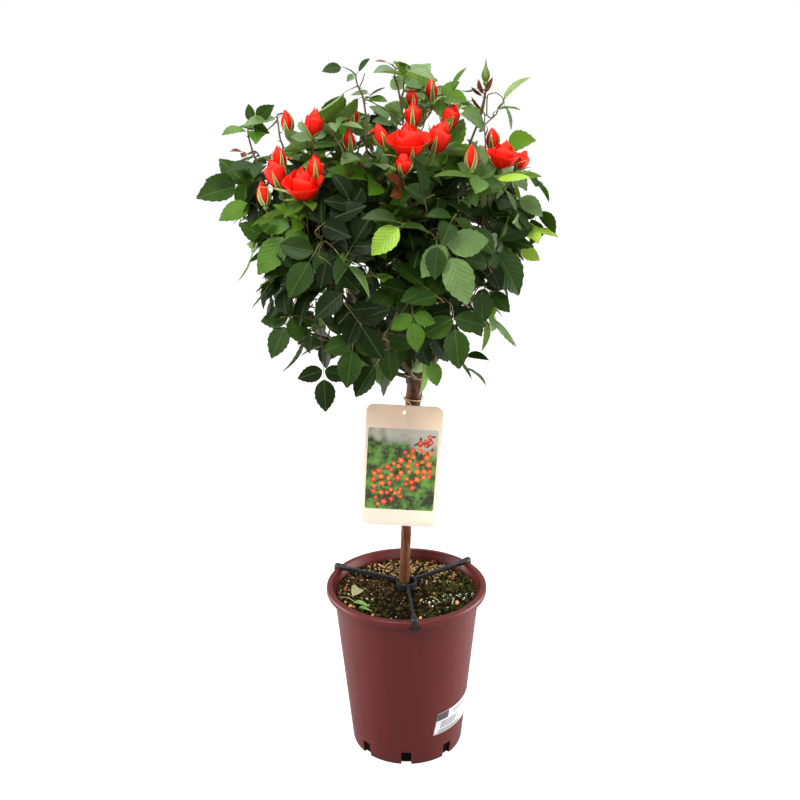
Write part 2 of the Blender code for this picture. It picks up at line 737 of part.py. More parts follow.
class Mass:
    """One mass of foliage, which grows only inside its own cell of the crown."""

    def __init__(self, mass, others, limbs, flowers, shoots, seed):
        self.name = mass[0]
        self.centre = mass_centre(mass)
        self.outward = (self.centre - CROWN_CENTRE).normalized()
        self.walls = []
        for other in others:
            outward = (mass_centre(other) - self.centre).normalized()
            middle = (mass_centre(other) + self.centre) / 2
            self.walls.append((middle, outward))
        self.limbs = limbs
        self.flowers = flowers
        self.shoots = shoots
        self.random = random.Random(seed)
        self.bough_tip = bough_line(mass)[-1]
        self.solids = []
        self.trees = []
        self.blades = []
        self.spots = []
        self.crossings = 0

    def in_cell(self, points, margin=CELL_MARGIN):
        return all(
            (point - middle).dot(outward) < -margin for point in points for middle, outward in self.walls
        )

    def in_room(self, points):
        """Inside the crown's egg, or close to the end of one of the mass's shoots."""
        for point in points:
            near_shoot = any((point - Vector(shoot)).length < SPRAY_ROOM for shoot in self.shoots)
            if crown_share(point) > 1 and not near_shoot:
                return False
        return True

    def fits(self, solid, parent):
        """True if a solid stays in its room and touches only its own twig, or few leaves besides."""
        verts, faces = solid
        if not self.in_cell(verts) or not self.in_room(verts):
            return False
        tree = BVHTree.FromPolygons(verts, faces)
        if any(tree.overlap(limb) for limb in self.limbs):
            return False
        others = self.trees[:parent] + [self.blades[parent]] + self.trees[parent + 1 :]
        return sum(bool(other and tree.overlap(other)) for other in others) <= self.crossings

    def place(self, solid, blade_faces=None, spot=None):
        """Adds a solid. The blades of a leaf are kept apart from its twig."""
        verts, faces = solid
        self.solids.append(solid)
        self.trees.append(BVHTree.FromPolygons(verts, faces))
        self.blades.append(BVHTree.FromPolygons(verts, faces[-blade_faces:]) if blade_faces else None)
        if spot:
            self.spots.append(spot)
        return len(self.solids) - 1

    def spare_room(self, point):
        """Distance from a point to the nearest leaf or flower of the mass."""
        return min((point - spot).length for spot in self.spots)

    def target(self):
        """Of many points in the outer shell of the mass's cell, the one furthest from its leaves."""
        best = None
        for _ in range(TARGET_TRIES):
            point = self.centre + Vector([self.random.uniform(-1, 1) for _ in range(3)]) * TARGET_REACH
            in_shell = TARGET_SHELL[0] < crown_share(point) < TARGET_SHELL[1]
            if in_shell and self.in_cell([point], TARGET_MARGIN):
                if best is None or self.spare_room(point) > self.spare_room(best):
                    best = point
        return best

    def aim(self, point):
        """Direction and upper side of a leaf at a point, with some scatter."""
        scatter = Vector([self.random.uniform(-1, 1) for _ in range(3)])
        away = (point - CROWN_CENTRE).normalized()
        rise = Vector((0, 0, LEAF_RISE[0] * away.z + LEAF_RISE[1]))
        direction = (away * LEAF_OUTWARD + rise + scatter).normalized()
        normal = away * LEAF_FACE_OUTWARD + LEAF_FACE_LIGHT + scatter * LEAF_FACE_STRAY
        if normal.normalized().cross(direction).length < LEAF_EDGE_ON[0]:
            normal = direction.cross(away).cross(direction)
        return direction, normal.normalized()

    def best_leaf(self, lines, parent, size):
        """Places, of the leaves that fit on the given petioles, the one with the most room."""
        best, best_line, best_room = None, None, 0.0
        for line, radius, lead in lines:
            direction, normal = self.aim(line[-1])
            direction = (direction + lead).normalized()
            if normal.cross(direction).length < LEAF_EDGE_ON[1]:
                continue
            solid = leaf_solid(line, radius, direction, normal, size)
            spot = line[-1] + direction * LEAFLET_LENGTH * LEAF_MIDDLE
            room = self.spare_room(spot)
            if room > max(best_room, LEAF_SPACING) and self.fits(solid, parent):
                best, best_line, best_room, best_spot = solid, line, room, spot
        if best is None:
            return None, None
        return self.place(best, BLADE_FACES, best_spot), best_line

    def add_twig(self, start, tip, parent):
        """Twig that ends in a leaf, with side leaves, if there is room for it."""
        lines = []
        for k in range(LEAF_TRIES):
            scatter = Vector([self.random.uniform(-1, 1) for _ in range(3)])
            end = tip + scatter * TWIG_TIP_STRAY * k
            middle = (start + end) / 2 + Vector((0, 0, TWIG_ARCH)) + scatter * TWIG_STRAY
            lead = (end - middle).normalized() * TWIG_LEAD
            lines.append(([start, middle, end], TWIG_RADIUS, lead))
        twig, line = self.best_leaf(lines, parent, 1.0)
        if twig is None:
            return
        for share in SIDE_LEAVES:
            along = share * 2
            root = line[0].lerp(line[1], along) if along < 1 else line[1].lerp(line[2], along - 1)
            lines = []
            for _ in range(LEAF_TRIES):
                direction = Vector([self.random.uniform(-1, 1) for _ in range(3)]).normalized()
                node = root + direction * PETIOLE_LENGTH * self.random.uniform(*PETIOLE_LENGTHS)
                lines.append(([root, node], PETIOLE_RADIUS, direction))
            self.best_leaf(lines, twig, self.random.uniform(*SIDE_LEAF_SIZES))

    def add_flower(self, stem, kind, base, height):
        """Flower on a stalk of its own, drawn in until it stands in the mass's cell."""
        sides, form = FLOWER_FORMS[kind]
        start = stem[0].lerp(stem[1], FLOWER_ROOT)
        for _ in range(LEAF_TRIES):
            heading = ((base - start).normalized() + Vector((0, 0, FLOWER_RISE))).normalized()
            first, second = side_axes(heading)
            turn = Matrix((first, second, heading)).transposed().to_4x4()
            profile = [(r * height, z * height) for r, z in form]
            bloom = moved(lathe(profile, sides), Matrix.Translation(base) @ turn)
            end = base + heading * height * FLOWER_SEAT
            if self.in_cell(bloom[0]):
                break
            base = base.lerp(self.centre + self.outward * FLOWER_PULL, FLOWER_PULL_STEP)
        line = [start, start.lerp(end, 0.5) - Vector((0, 0, FLOWER_SAG)), end]
        self.place(tube(line, [TWIG_RADIUS, TWIG_RADIUS, TWIG_RADIUS * 0.8], 3))
        self.place(bloom, spot=base + heading * height * 0.5)

    def grow(self):
        """Leading stem, then flowers and shoots, then twigs to wherever there is most room."""
        ahead = (self.centre - self.bough_tip).normalized()
        root = self.bough_tip + ahead * GAP
        bend = self.centre.lerp(root, LEADER_BEND)
        stem = [root, bend, self.centre + self.outward * LEADER_REACH]
        radii = [BOUGH_TIP_RADIUS, TWIG_RADIUS * LEADER_SWELL, TWIG_RADIUS]
        leader = self.place(tube(stem, radii, LEADER_SIDES), spot=root)
        for kind, place, height in self.flowers:
            self.add_flower(stem, kind, Vector(place), height)
        for k, shoot in enumerate(self.shoots):
            start = stem[1].lerp(stem[2], SHOOT_ROOT + SHOOT_ROOT_STEP * k)
            self.add_twig(start, Vector(shoot), leader)
        for k in range(TWIG_TRIES):
            if len(self.spots) >= SPOTS_PER_MASS:
                break
            self.crossings = k * 2 // TWIG_TRIES
            tip = self.target()
            if tip:
                start = stem[1].lerp(stem[2], self.random.uniform(*TWIG_ROOTS))
                self.add_twig(start, tip, leader)

    def make(self, material):
        stem_verts, stem_faces = self.solids[0]
        obj = make_object("foliage_" + self.name, stem_verts, stem_faces, material)
        combine(obj, self.solids[1:], "UNION", solver="MANIFOLD")
        keep_main_body(obj)


def nearest_mass(place):
    return min(range(len(MASSES)), key=lambda k: (mass_centre(MASSES[k]) - Vector(place)).length)


def main():
    clear_scene()
    plastic = make_material("pot_plastic", (0.20, 0.030, 0.030), 0.42)
    earth = make_material("soil", (0.050, 0.035, 0.022), 0.95)
    bark = make_material("bark", (0.230, 0.110, 0.050), 0.75)
    black = make_material("holder_plastic", (0.020, 0.022, 0.025), 0.40)
    card = make_material("card", (0.80, 0.78, 0.74), 0.50)
    twine = make_material("twine", (0.62, 0.50, 0.40), 0.80)
    young_bark = make_material("young_bark", (0.130, 0.110, 0.045), 0.65)
    leaf = make_material("leaf", (0.040, 0.120, 0.030), 0.50)

    make_pot(plastic)
    make_soil(earth)
    make_trunk(bark)
    make_holder(black)
    make_tag(card)
    make_string(twine)
    limbs = limb_trees()
    for k, mass in enumerate(MASSES):
        make_bough(mass, young_bark)
        others = MASSES[:k] + MASSES[k + 1 :]
        flowers = [flower for flower in FLOWERS if nearest_mass(flower[1]) == k]
        shoots = [shoot for shoot in SHOOTS if nearest_mass(shoot) == k]
        foliage = Mass(mass, others, limbs, flowers, shoots, SEED + k)
        foliage.grow()
        foliage.make(leaf)


main()
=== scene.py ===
"""Looks of the potted tree rose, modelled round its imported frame.

Metres, +Z up, and the front of the plant faces -Y. The pot, the soil, the
limbs' bark and the things that hang or clip on are modelled one by one. Twigs,
leaves and flowers grow on from the boughs' tips by the frame's own rule, in
the same cells of the crown, and carry it to finer twigs.
"""

import json
import math
import random

import bmesh
import bpy
import numpy as np
from mathutils import Matrix, Vector

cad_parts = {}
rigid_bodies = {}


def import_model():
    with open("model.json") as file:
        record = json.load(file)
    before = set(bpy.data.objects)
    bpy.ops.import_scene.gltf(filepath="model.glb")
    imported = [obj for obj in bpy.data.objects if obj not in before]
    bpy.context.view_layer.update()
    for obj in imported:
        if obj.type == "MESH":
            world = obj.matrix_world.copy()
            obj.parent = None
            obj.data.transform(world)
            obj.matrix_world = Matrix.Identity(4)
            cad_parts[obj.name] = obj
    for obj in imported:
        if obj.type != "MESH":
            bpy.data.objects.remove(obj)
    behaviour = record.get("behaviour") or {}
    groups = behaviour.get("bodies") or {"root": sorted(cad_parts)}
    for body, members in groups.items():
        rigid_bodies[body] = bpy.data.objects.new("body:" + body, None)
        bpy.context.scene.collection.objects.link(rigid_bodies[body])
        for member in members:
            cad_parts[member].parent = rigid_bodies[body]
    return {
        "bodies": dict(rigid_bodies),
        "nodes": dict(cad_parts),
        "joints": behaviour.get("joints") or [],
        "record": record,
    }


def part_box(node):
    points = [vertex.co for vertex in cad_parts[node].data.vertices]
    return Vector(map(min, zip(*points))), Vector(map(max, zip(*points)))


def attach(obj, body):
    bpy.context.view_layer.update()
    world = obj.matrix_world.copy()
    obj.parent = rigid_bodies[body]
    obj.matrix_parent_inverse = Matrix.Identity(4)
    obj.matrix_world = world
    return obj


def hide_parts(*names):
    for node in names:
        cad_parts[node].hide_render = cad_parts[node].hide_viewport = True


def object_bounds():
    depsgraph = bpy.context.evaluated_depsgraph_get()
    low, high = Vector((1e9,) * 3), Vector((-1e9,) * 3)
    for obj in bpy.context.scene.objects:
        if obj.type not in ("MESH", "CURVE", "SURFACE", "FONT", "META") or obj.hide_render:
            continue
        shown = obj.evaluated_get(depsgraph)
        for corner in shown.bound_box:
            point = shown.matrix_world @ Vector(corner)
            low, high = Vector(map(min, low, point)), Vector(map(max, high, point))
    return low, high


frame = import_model()
cad_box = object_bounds()

# Camera of the photograph
CAMERA_PLACE = Vector((-0.0060, -1.1000, 0.7811))
CAMERA_PITCH = math.radians(17.39)
CAMERA_ROLL = math.radians(-0.4618)
CAMERA_LENS = 45.77
CAMERA_SENSOR = 36.0

# Pot
POT_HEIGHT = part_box("pot")[1].z
RIM_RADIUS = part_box("pot")[1].x
FOOT_RADIUS = 0.0674
NECK_RADIUS = 0.0873
POT_WALL = 0.0018
RIM_SHOULDER = 0.0012
RIM_DROP = 0.0070
POT_LIP = 0.0030
POT_EDGE = 0.0016
POT_SIDES = 128
SLOT_COUNT = 8
SLOT_WIDTH = 0.0120
SLOT_HEIGHT = 0.0178
SLOT_TURN = math.radians(-1.7)
SLOT_REACH = (0.050, 0.080)

# Label on the pot. Bars: start as a share of its width, drop from its top edge, and
# length as a share of its width
LABEL_LOW = 0.0375
LABEL_HIGH = 0.0675
LABEL_WIDTH = 0.072
LABEL_TURN = math.radians(25)
LABEL_TILT = 0.04
LABEL_LEAN = 0.17
LABEL_LIFT = 0.0001
LABEL_THICKNESS = 0.00012
INK_LIFT = 0.0003
BAR_HEIGHT = 0.0012
LABEL_BARS = (
    (0.32, 0.0030, 0.55), (0.32, 0.0060, 0.46), (0.10, 0.0130, 0.42), (0.10, 0.0155, 0.36),
    (0.10, 0.0180, 0.45), (0.10, 0.0205, 0.34), (0.08, 0.0240, 0.58), (0.08, 0.0265, 0.50),
)

# Soil
SOIL_LOW, SOIL_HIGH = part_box("soil")
SOIL_GAP = 0.0006
SOIL_SIDES = 120
SOIL_RINGS = 26
SOIL_RISE = 0.0020

# Grains on the soil: piece, finish, how many, least and greatest size, seed, flatness,
# stretch, spots where they gather (place, reach, weight), and their share elsewhere
GRAINS = (
    ("soil_chips", "bark_chips", 560, (0.0012, 0.0035), 3, 0.5, 1.45,
     ((0.020, 0.050, 0.030, 1.0), (-0.030, 0.055, 0.022, 0.9)), 0.03),
    ("soil_crumbs", "bark_crumbs", 900, (0.0014, 0.0036), 7, 0.6, 1.35,
     ((-0.052, 0.012, 0.036, 1.0), (0.000, 0.050, 0.045, 0.5)), 0.16),
    ("soil_lumps", "peat_lumps", 1700, (0.0012, 0.0040), 4, 0.7, 1.0, (), 1.0),
    ("soil_perlite", "perlite", 110, (0.0011, 0.0025), 5, 0.7, 1.0,
     ((0.053, -0.020, 0.010, 1.0), (0.074, -0.014, 0.008, 1.0),
      (0.028, -0.032, 0.006, 1.0), (-0.070, -0.002, 0.010, 1.0)), 0.015),
    ("soil_moss", "moss", 1100, (0.0009, 0.0026), 6, 0.8, 1.5,
     ((0.056, 0.008, 0.027, 1.0), (-0.045, -0.045, 0.020, 0.5)), 0.07),
)

# Loose bits on the soil: granules by place and size, stubs of stalks by line and
# radius, straws by line, and lying leaves by sheaf, form, narrowing, place, the way
# they point, their upper side and length
GRANULES = ((0.0590, -0.0356, 0.0052), (-0.0657, -0.0400, 0.0046), (0.0150, -0.0700, 0.0050))
STUBS = (
    (((0.0574, 0.0240, 0.1950), (0.0578, 0.0270, 0.2020), (0.0588, 0.0290, 0.2062)), 0.0017),
    (((-0.0745, -0.0020, 0.1975), (-0.0730, 0.0035, 0.1990), (-0.0715, 0.0080, 0.1978)), 0.0016),
    (((0.0310, 0.0700, 0.1972), (0.0350, 0.0747, 0.1980), (0.0390, 0.0720, 0.1970)), 0.0013),
)
STRAWS = (
    ((-0.0800, -0.0210, 0.1990), (-0.0690, -0.0250, 0.2005), (-0.0577, -0.0361, 0.1985)),
    ((-0.0835, 0.0200, 0.1975), (-0.0815, 0.0310, 0.1995), (-0.0760, 0.0400, 0.1985)),
    ((0.0270, -0.0200, 0.1985), (0.0330, -0.0260, 0.2000), (0.0390, -0.0340, 0.1985)),
)
STRAW_RADIUS = 0.0005
LYING_LEAVES = (
    ("blades", 1, 0.42, (-0.0620, -0.0330, 0.1985), (0.72, -0.60, 0.10), (0.1, -0.5, 1), 0.024),
    ("blades", 1, 0.42, (-0.0560, -0.0440, 0.1980), (0.80, -0.58, 0.06), (0.1, -0.5, 1), 0.018),
    ("withered_leaf", 5, 1.0, (-0.0570, 0.0020, 0.1985), (-0.35, -1, 0.05), (0.3, -0.3, 1), 0.023),
)
LOOSE_BITS = (
    ("granules", "granule_orange"), ("red_stubs", "stub_red"), ("straws", "straw_tan"),
    ("blades", "blade_green"), ("withered_leaf", "withered_green"),
)

# Clear stem with its graft head
STEM_FOOT = Vector((-0.0032, 0.0010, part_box("trunk")[0].z))
HEAD_CENTRE = Vector((0.0110, 0.0000, 0.4640))
HEAD_RADIUS = 0.0115
STEM_FOOT_RADIUS = 0.0062
STEM_WAIST_RADIUS = 0.0050
STEM_FLARE = 0.0008
STEM_FLARE_HEIGHT = 0.008
STEM_BOW = -0.0010
GRAFT_SWELL = 0.0062
GRAFT_LENGTH = 0.0420
STEM_NODES = (0.232, 0.271, 0.318, 0.366, 0.405)
STEM_NODE_SWELL = 0.0007
STEM_NODE_LENGTH = 0.0030
WOOD_VOXEL = 0.0009

# Stem holder
HUB_RADIUS = 0.0124
HUB_WALL = 0.0018
HUB_HEIGHT = 0.0080
HUB_TOP = 0.2100
ARM_ANGLES = [math.radians(a) for a in (-84.9, 35.5, 153.8)]
ARM_WIDTH = 0.0031
ARM_DEPTH = 0.0058
ARM_TOP = POT_HEIGHT + 0.0030
WEB_HALF = 0.0009
FLANGE_DEPTH = 0.0016
CLIP_LOW = POT_HEIGHT - 0.0112
CLIP_WALL = 0.0022
KNOB_PROFILE = (
    (-0.0200, 0.0014), (-0.0120, 0.0030), (-0.0050, 0.0038), (0.0000, 0.0041),
    (0.0016, 0.0034), (0.0026, 0.0018),
)

# Care tag and its string
TAG_WIDTH = 0.0868
TAG_LENGTH = 0.1505
TAG_THICKNESS = 0.0009
TAG_CORNER = 0.0090
TAG_HOLE_RADIUS = 0.0024
TAG_HOLE_INSET = 0.0085
TAG_TOP_CENTRE = Vector((-0.0001, -0.0150, 0.4350))
TAG_ROLL = math.radians(3.6)
TAG_PITCH = math.radians(3.0)
PICTURE_LEFT, PICTURE_RIGHT = -0.0401, 0.0396
PICTURE_TOP, PICTURE_BOTTOM = -0.0283, -0.1297
PICTURE_CORNER = 0.0022
BLOSSOM_COUNT = 57
PRINT_INKS = (
    ("print_red", "print_red"), ("print_orange", "print_orange"),
    ("print_leaves", "print_green"), ("print_hearts", "print_yellow"),
)
STRING_HEIGHT = 0.4390
STRING_RADIUS = 0.0006
STRING_TWIST = 2600
KNOT_RADIUS = 0.0014
KNOT_ANGLE = math.radians(218)

# Crown
CROWN_CENTRE = Vector((-0.0200, 0.0000, 0.6030))
CROWN_HALF = Vector((0.1800, 0.1740, 0.1680))
BOUGH_ROOT_RADIUS = 0.0026
BOUGH_TIP_RADIUS = 0.0018

# Masses: name, azimuth in degrees from +X, distance from the crown's axis,
# height, elevation in degrees at which its bough leaves the head, and the
# share of the way to the mass's middle at which the bough ends
MASSES = (
    ("low_front", 268, 0.088, 0.535, 8, 0.58),
    ("low_right", 338, 0.088, 0.540, 10, 0.58),
    ("low_right_back", 50, 0.088, 0.535, 8, 0.58),
    ("low_left_back", 124, 0.090, 0.530, 8, 0.58),
    ("low_left", 196, 0.096, 0.528, 10, 0.58),
    ("high_front_left", 228, 0.112, 0.636, 42, 0.64),
    ("high_front_right", 292, 0.106, 0.640, 42, 0.64),
    ("high_right", 350, 0.108, 0.642, 42, 0.64),
    ("high_right_back", 48, 0.106, 0.642, 42, 0.64),
    ("high_left_back", 116, 0.108, 0.640, 42, 0.64),
    ("high_left", 176, 0.118, 0.640, 42, 0.64),
    ("top_front", 262, 0.038, 0.700, 71, 0.68),
    ("top_back", 82, 0.042, 0.700, 71, 0.68),
)

# Flowers, sprays, leaders and shoots have places and lengths in millimetres, and
# directions in hundredths

# Flowers: kind, place of the flower's base, height, and the way it leans
FLOWERS = (
    ("open", (-96, -105, 674), 34, (-5, -45, 100)),
    ("half", (-122, -85, 682), 30, (-30, -5, 100)),
    ("bud", (-123, -70, 698), 25, (-5, 0, 100)),
    ("bud", (-137, -85, 666), 23, (-15, 0, 100)),
    ("half", (-85, -98, 691), 24, (-6, 0, 100)),
    ("bud", (-116, -40, 733), 22, (-12, 0, 100)),
    ("half", (-90, -78, 731), 27, (20, -10, 100)),
    ("bud", (-52, -40, 738), 23, (0, 0, 100)),
    ("bud", (-54, -60, 716), 22, (-5, -10, 100)),
    ("bud", (-18, -85, 721), 24, (-40, 0, 100)),
    ("open", (5, -95, 712), 35, (-10, -40, 100)),
    ("half", (-1, -108, 697), 22, (0, -35, 80)),
    ("bud", (9, -20, 754), 22, (-5, 0, 100)),
    ("half", (9, -50, 737), 25, (0, 0, 100)),
    ("bud", (29, -20, 762), 22, (-5, 0, 100)),
    ("half", (44, -30, 734), 27, (30, 0, 100)),
    ("half", (29, -70, 714), 33, (35, -10, 100)),
    ("bud", (66, -70, 698), 24, (2, -5, 100)),
    ("bud", (92, -20, 712), 24, (-5, 0, 100)),
    ("open", (97, -55, 697), 29, (15, -25, 100)),
    ("half", (115, -40, 695), 21, (50, -20, 100)),
    ("green", (85, 0, 781), 21, (0, 0, 100)),
    ("open", (54, 113, 686), 32, (10, 45, 100)),
    ("bud", (24, 70, 745), 24, (0, 10, 100)),
    ("open", (-66, 124, 672), 32, (-5, 50, 100)),
    ("half", (-121, 84, 692), 28, (-20, 30, 100)),
    ("bud", (-36, 86, 712), 24, (5, 10, 100)),
    ("half", (87, 92, 686), 26, (25, 20, 100)),
)

# Petals of each kind of flower, whorl by whorl from the middle: how many,
# radius and height as shares of the flower's height, half width in degrees,
# how far the cup closes over, and how far its edge rolls back
WHORLS = {
    "open": (
        (3, 0.15, 1.02, 86, 1.00, 0.0), (3, 0.27, 0.95, 76, 0.88, 0.0),
        (3, 0.40, 0.84, 66, 0.50, 0.15), (5, 0.50, 0.66, 54, 0.16, 0.55),
    ),
    "half": (
        (3, 0.20, 1.00, 86, 1.00, 0.0), (3, 0.29, 0.95, 76, 0.86, 0.0),
        (4, 0.36, 0.82, 60, 0.50, 0.4),
    ),
    "bud": ((3, 0.24, 1.00, 86, 1.00, 0.0), (3, 0.29, 0.94, 76, 1.00, 0.0)),
    "green": (),
}

# How far the sepals of each kind bend away, and their length as a share of the flower's height
SEPALS = {"open": (0.75, 0.55), "half": (0.35, 0.75), "bud": (0.10, 0.80)}

# Radius and height, as a share of the flower's height, of the cup below the petals and of a green bud
CUP_PROFILE = ((0.0008, -0.24), (0.0024, -0.18), (0.0029, -0.08), (0.0022, 0.0), (0.0026, 0.06))
GREEN_BUD_PROFILE = (
    (0.0024, 0.0), (0.0040, 0.12), (0.0045, 0.26), (0.0038, 0.42), (0.0024, 0.56),
    (0.0013, 0.70), (0.0008, 0.84), (0.0004, 1.0),
)

# Sprays, the leaves that stand out of the crown or lie open on its front: where the end
# leaflet springs, the way it points, its length, whether it turns its face to
# the front, its face up or its edge to the front, how many pairs of leaflets
# come before it, and its shade
SPRAYS = (
    ((-44, -20, 646), (10, -25, -95), 36, "face", 1, "dark"),
    ((-172, -45, 680), (-93, -36, -12), 42, "face", 2, "mid"),
    ((-174, -40, 680), (-90, -27, 35), 30, "face", 0, "mid"),
    ((-158, -60, 665), (-83, -43, -35), 35, "face", 0, "fresh"),
    ((-161, -20, 733), (-85, -53, 2), 28, "top", 2, "fresh"),
    ((-151, -10, 745), (72, -21, 66), 24, "face", 1, "mid"),
    ((-132, -12, 746), (-91, -40, -8), 35, "top", 0, "pale"),
    ((-167, -20, 712), (-89, -39, 25), 13, "top", 1, "red"),
    ((-151, -50, 700), (-94, -33, -1), 30, "top", 1, "mid"),
    ((-139, -75, 632), (-74, -31, 59), 32, "face", 0, "mid"),
    ((-119, -100, 636), (-64, -11, -76), 45, "face", 1, "fresh"),
    ((-155, -50, 624), (-46, -22, -86), 45, "edge", 1, "pale"),
    ((-137, -50, 587), (-64, -25, -72), 40, "edge", 1, "mid"),
    ((-111, -90, 600), (-99, -16, 2), 31, "top", 1, "dark"),
    ((-129, -40, 579), (-41, -25, -88), 41, "edge", 0, "dark"),
    ((-93, -120, 615), (-56, -13, -82), 40, "face", 1, "mid"),
    ((-128, -40, 532), (-45, -27, -85), 37, "face", 2, "mid"),
    ((-107, -60, 523), (-62, -24, -75), 42, "edge", 1, "dark"),
    ((-86, -70, 482), (3, -14, -99), 35, "face", 1, "dark"),
    ((-54, -100, 521), (-18, -5, -98), 40, "face", 1, "mid"),
    ((-32, -90, 501), (-58, -5, -82), 38, "face", 0, "dark"),
    ((-23, -30, 479), (-4, 0, -100), 29, "half", 0, "dark"),
    ((-61, -130, 586), (-80, -14, -58), 36, "face", 0, "dark"),
    ((-55, -140, 614), (61, -5, -79), 37, "edge", 1, "pale"),
    ((-6, -148, 651), (-77, -6, -64), 36, "face", 0, "lime"),
    ((-5, -146, 652), (98, -16, -12), 30, "top", 0, "mid"),
    ((-7, -144, 656), (-96, -16, 23), 34, "top", 0, "mid"),
    ((138, -40, 631), (97, -20, -14), 23, "top", 2, "lime"),
    ((124, -20, 611), (87, -21, -44), 24, "face", 0, "lime"),
    ((93, -60, 615), (52, -4, -85), 53, "face", 1, "mid"),
    ((97, -50, 626), (96, -27, -9), 38, "top", 0, "dark"),
    ((43, -138, 621), (40, -4, -92), 48, "face", 1, "pale"),
    ((30, -142, 632), (-8, -13, -99), 31, "face", 0, "mid"),
    ((92, -20, 563), (74, -33, -58), 30, "face", 1, "mid"),
    ((96, 0, 529), (73, 0, -69), 43, "edge", 1, "pale"),
    ((80, -60, 573), (3, -6, -100), 35, "face", 0, "mid"),
    ((49, -115, 546), (12, -7, -99), 41, "face", 1, "mid"),
    ((66, -80, 553), (52, -19, -83), 26, "face", 0, "mid"),
    ((66, -40, 498), (98, -20, -3), 25, "top", 0, "dark"),
    ((66, -40, 484), (80, -7, -60), 29, "edge", 0, "mid"),
    ((27, -50, 495), (28, -7, -96), 28, "face", 0, "fresh"),
    ((8, -125, 555), (11, -10, -99), 29, "face", 1, "fresh"),
    ((69, -105, 644), (62, -16, -77), 31, "face", 0, "mid"),
    ((84, -80, 606), (46, -7, -89), 31, "face", 0, "dark"),
    ((-61, -55, 795), (-93, -34, -10), 20, "face", 0, "mid"),
    ((-49, -52, 788), (-62, -57, -54), 11, "face", 0, "pale"),
    ((-44, -52, 791), (63, -23, 75), 17, "half", 0, "mid"),
    ((-59, -50, 771), (-86, -26, -43), 46, "half", 0, "pale"),
    ((-45, -50, 765), (-85, -31, -42), 39, "half", 0, "pale"),
    ((-35, -48, 770), (-91, 40, 4), 20, "top", 0, "pale"),
    ((-34, -50, 765), (87, -49, -3), 21, "top", 0, "fresh"),
    ((-34, -48, 767), (82, -21, 54), 19, "edge", 0, "mid"),
    ((-61, -80, 742), (91, -42, -5), 24, "top", 1, "pale"),
    ((-4, -52, 787), (-80, -57, 19), 31, "top", 0, "pale"),
    ((2, -50, 793), (90, -37, -25), 33, "top", 0, "pale"),
    ((-7, -46, 798), (95, -24, -22), 17, "edge", 0, "mid"),
    ((0, -44, 786), (-15, 0, 99), 14, "face", 0, "fresh"),
    ((20, -48, 775), (-91, -36, 19), 20, "edge", 0, "mid"),
    ((-16, -40, 799), (-90, -38, 20), 13, "top", 0, "red"),
    ((49, -25, 773), (50, -19, 84), 26, "half", 0, "fresh"),
    ((43, -25, 765), (73, -69, -2), 29, "face", 1, "fresh"),
    ((104, 0, 761), (70, -5, 71), 36, "edge", 0, "pale"),
    ((83, 0, 768), (-30, -13, 94), 16, "half", 0, "red"),
    ((86, 0, 770), (35, -13, 93), 16, "half", 0, "red"),
    ((81, 0, 766), (-68, -28, 68), 15, "half", 0, "red"),
    ((81, -4, 753), (-58, -12, 81), 17, "half", 0, "red"),
    ((74, -2, 774), (-93, -35, 0), 17, "edge", 0, "mid"),
    ((105, 0, 757), (28, -18, -94), 27, "edge", 0, "pale"),
    ((99, 0, 752), (97, 21, 9), 24, "edge", 0, "fresh"),
    ((82, -35, 738), (-64, -64, 41), 39, "face", 0, "pale"),
    ((107, -20, 718), (69, -68, 26), 37, "face", 0, "fresh"),
    ((139, -10, 678), (63, 0, -78), 25, "edge", 1, "mid"),
    ((118, -50, 667), (82, -17, -55), 30, "face", 0, "pale"),
    ((92, -80, 689), (93, -31, 18), 32, "top", 0, "lime"),
    ((72, -90, 682), (91, -38, 15), 27, "face", 1, "mid"),
    ((64, -95, 692), (-91, -38, 17), 39, "top", 1, "fresh"),
    ((-18, -75, 515), (10, -10, -99), 34, "face", 1, "mid"),
    ((13, -60, 522), (42, -12, -90), 31, "face", 0, "dark"),
    ((-3, -50, 514), (-45, -10, -89), 28, "face", 0, "mid"),
)

# Leaders, the stems that carry the crown's top: radius at the foot, and places they pass
LEADERS = (
    (1.4, ((-37, -60, 716), (-37, -55, 742), (-40, -52, 765), (-45, -50, 777), (-47, -50, 785))),
    (0.8, ((-43, -50, 777), (-40, -50, 783), (-38, -52, 789))),
    (0.8, ((-37, -52, 764), (-28, -50, 760), (-14, -50, 752))),
    (1.4, ((-1, -50, 740), (-5, -52, 773), (-8, -52, 783), (-9, -52, 790))),
    (0.9, ((-1, -51, 768), (1, -50, 786))),
    (1.6, ((65, -20, 712), (68, -15, 718), (75, -8, 734), (82, -4, 751), (85, 0, 768), (86, 0, 777))),
    (0.8, ((84, -5, 739), (91, 0, 744), (97, 0, 748), (99, 0, 755), (105, 0, 761))),
    (0.8, ((87, 0, 765), (90, 0, 768), (96, 0, 769), (102, 0, 765), (105, 0, 760))),
    (1.4, (
        (-138, -60, 671), (-141, -50, 681), (-147, -40, 696),
        (-155, -25, 712), (-159, -20, 725), (-160, -20, 732),
    )),
    (1.2, ((-123, -45, 714), (-125, -42, 728), (-129, -20, 745), (-130, -15, 749))),
    (1.3, ((-54, -95, 693), (-59, -92, 717), (-66, -88, 729), (-69, -88, 733))),
    (0.9, ((79, -5, 731), (88, 0, 740), (96, 0, 747), (99, 0, 754), (105, 0, 759))),
)

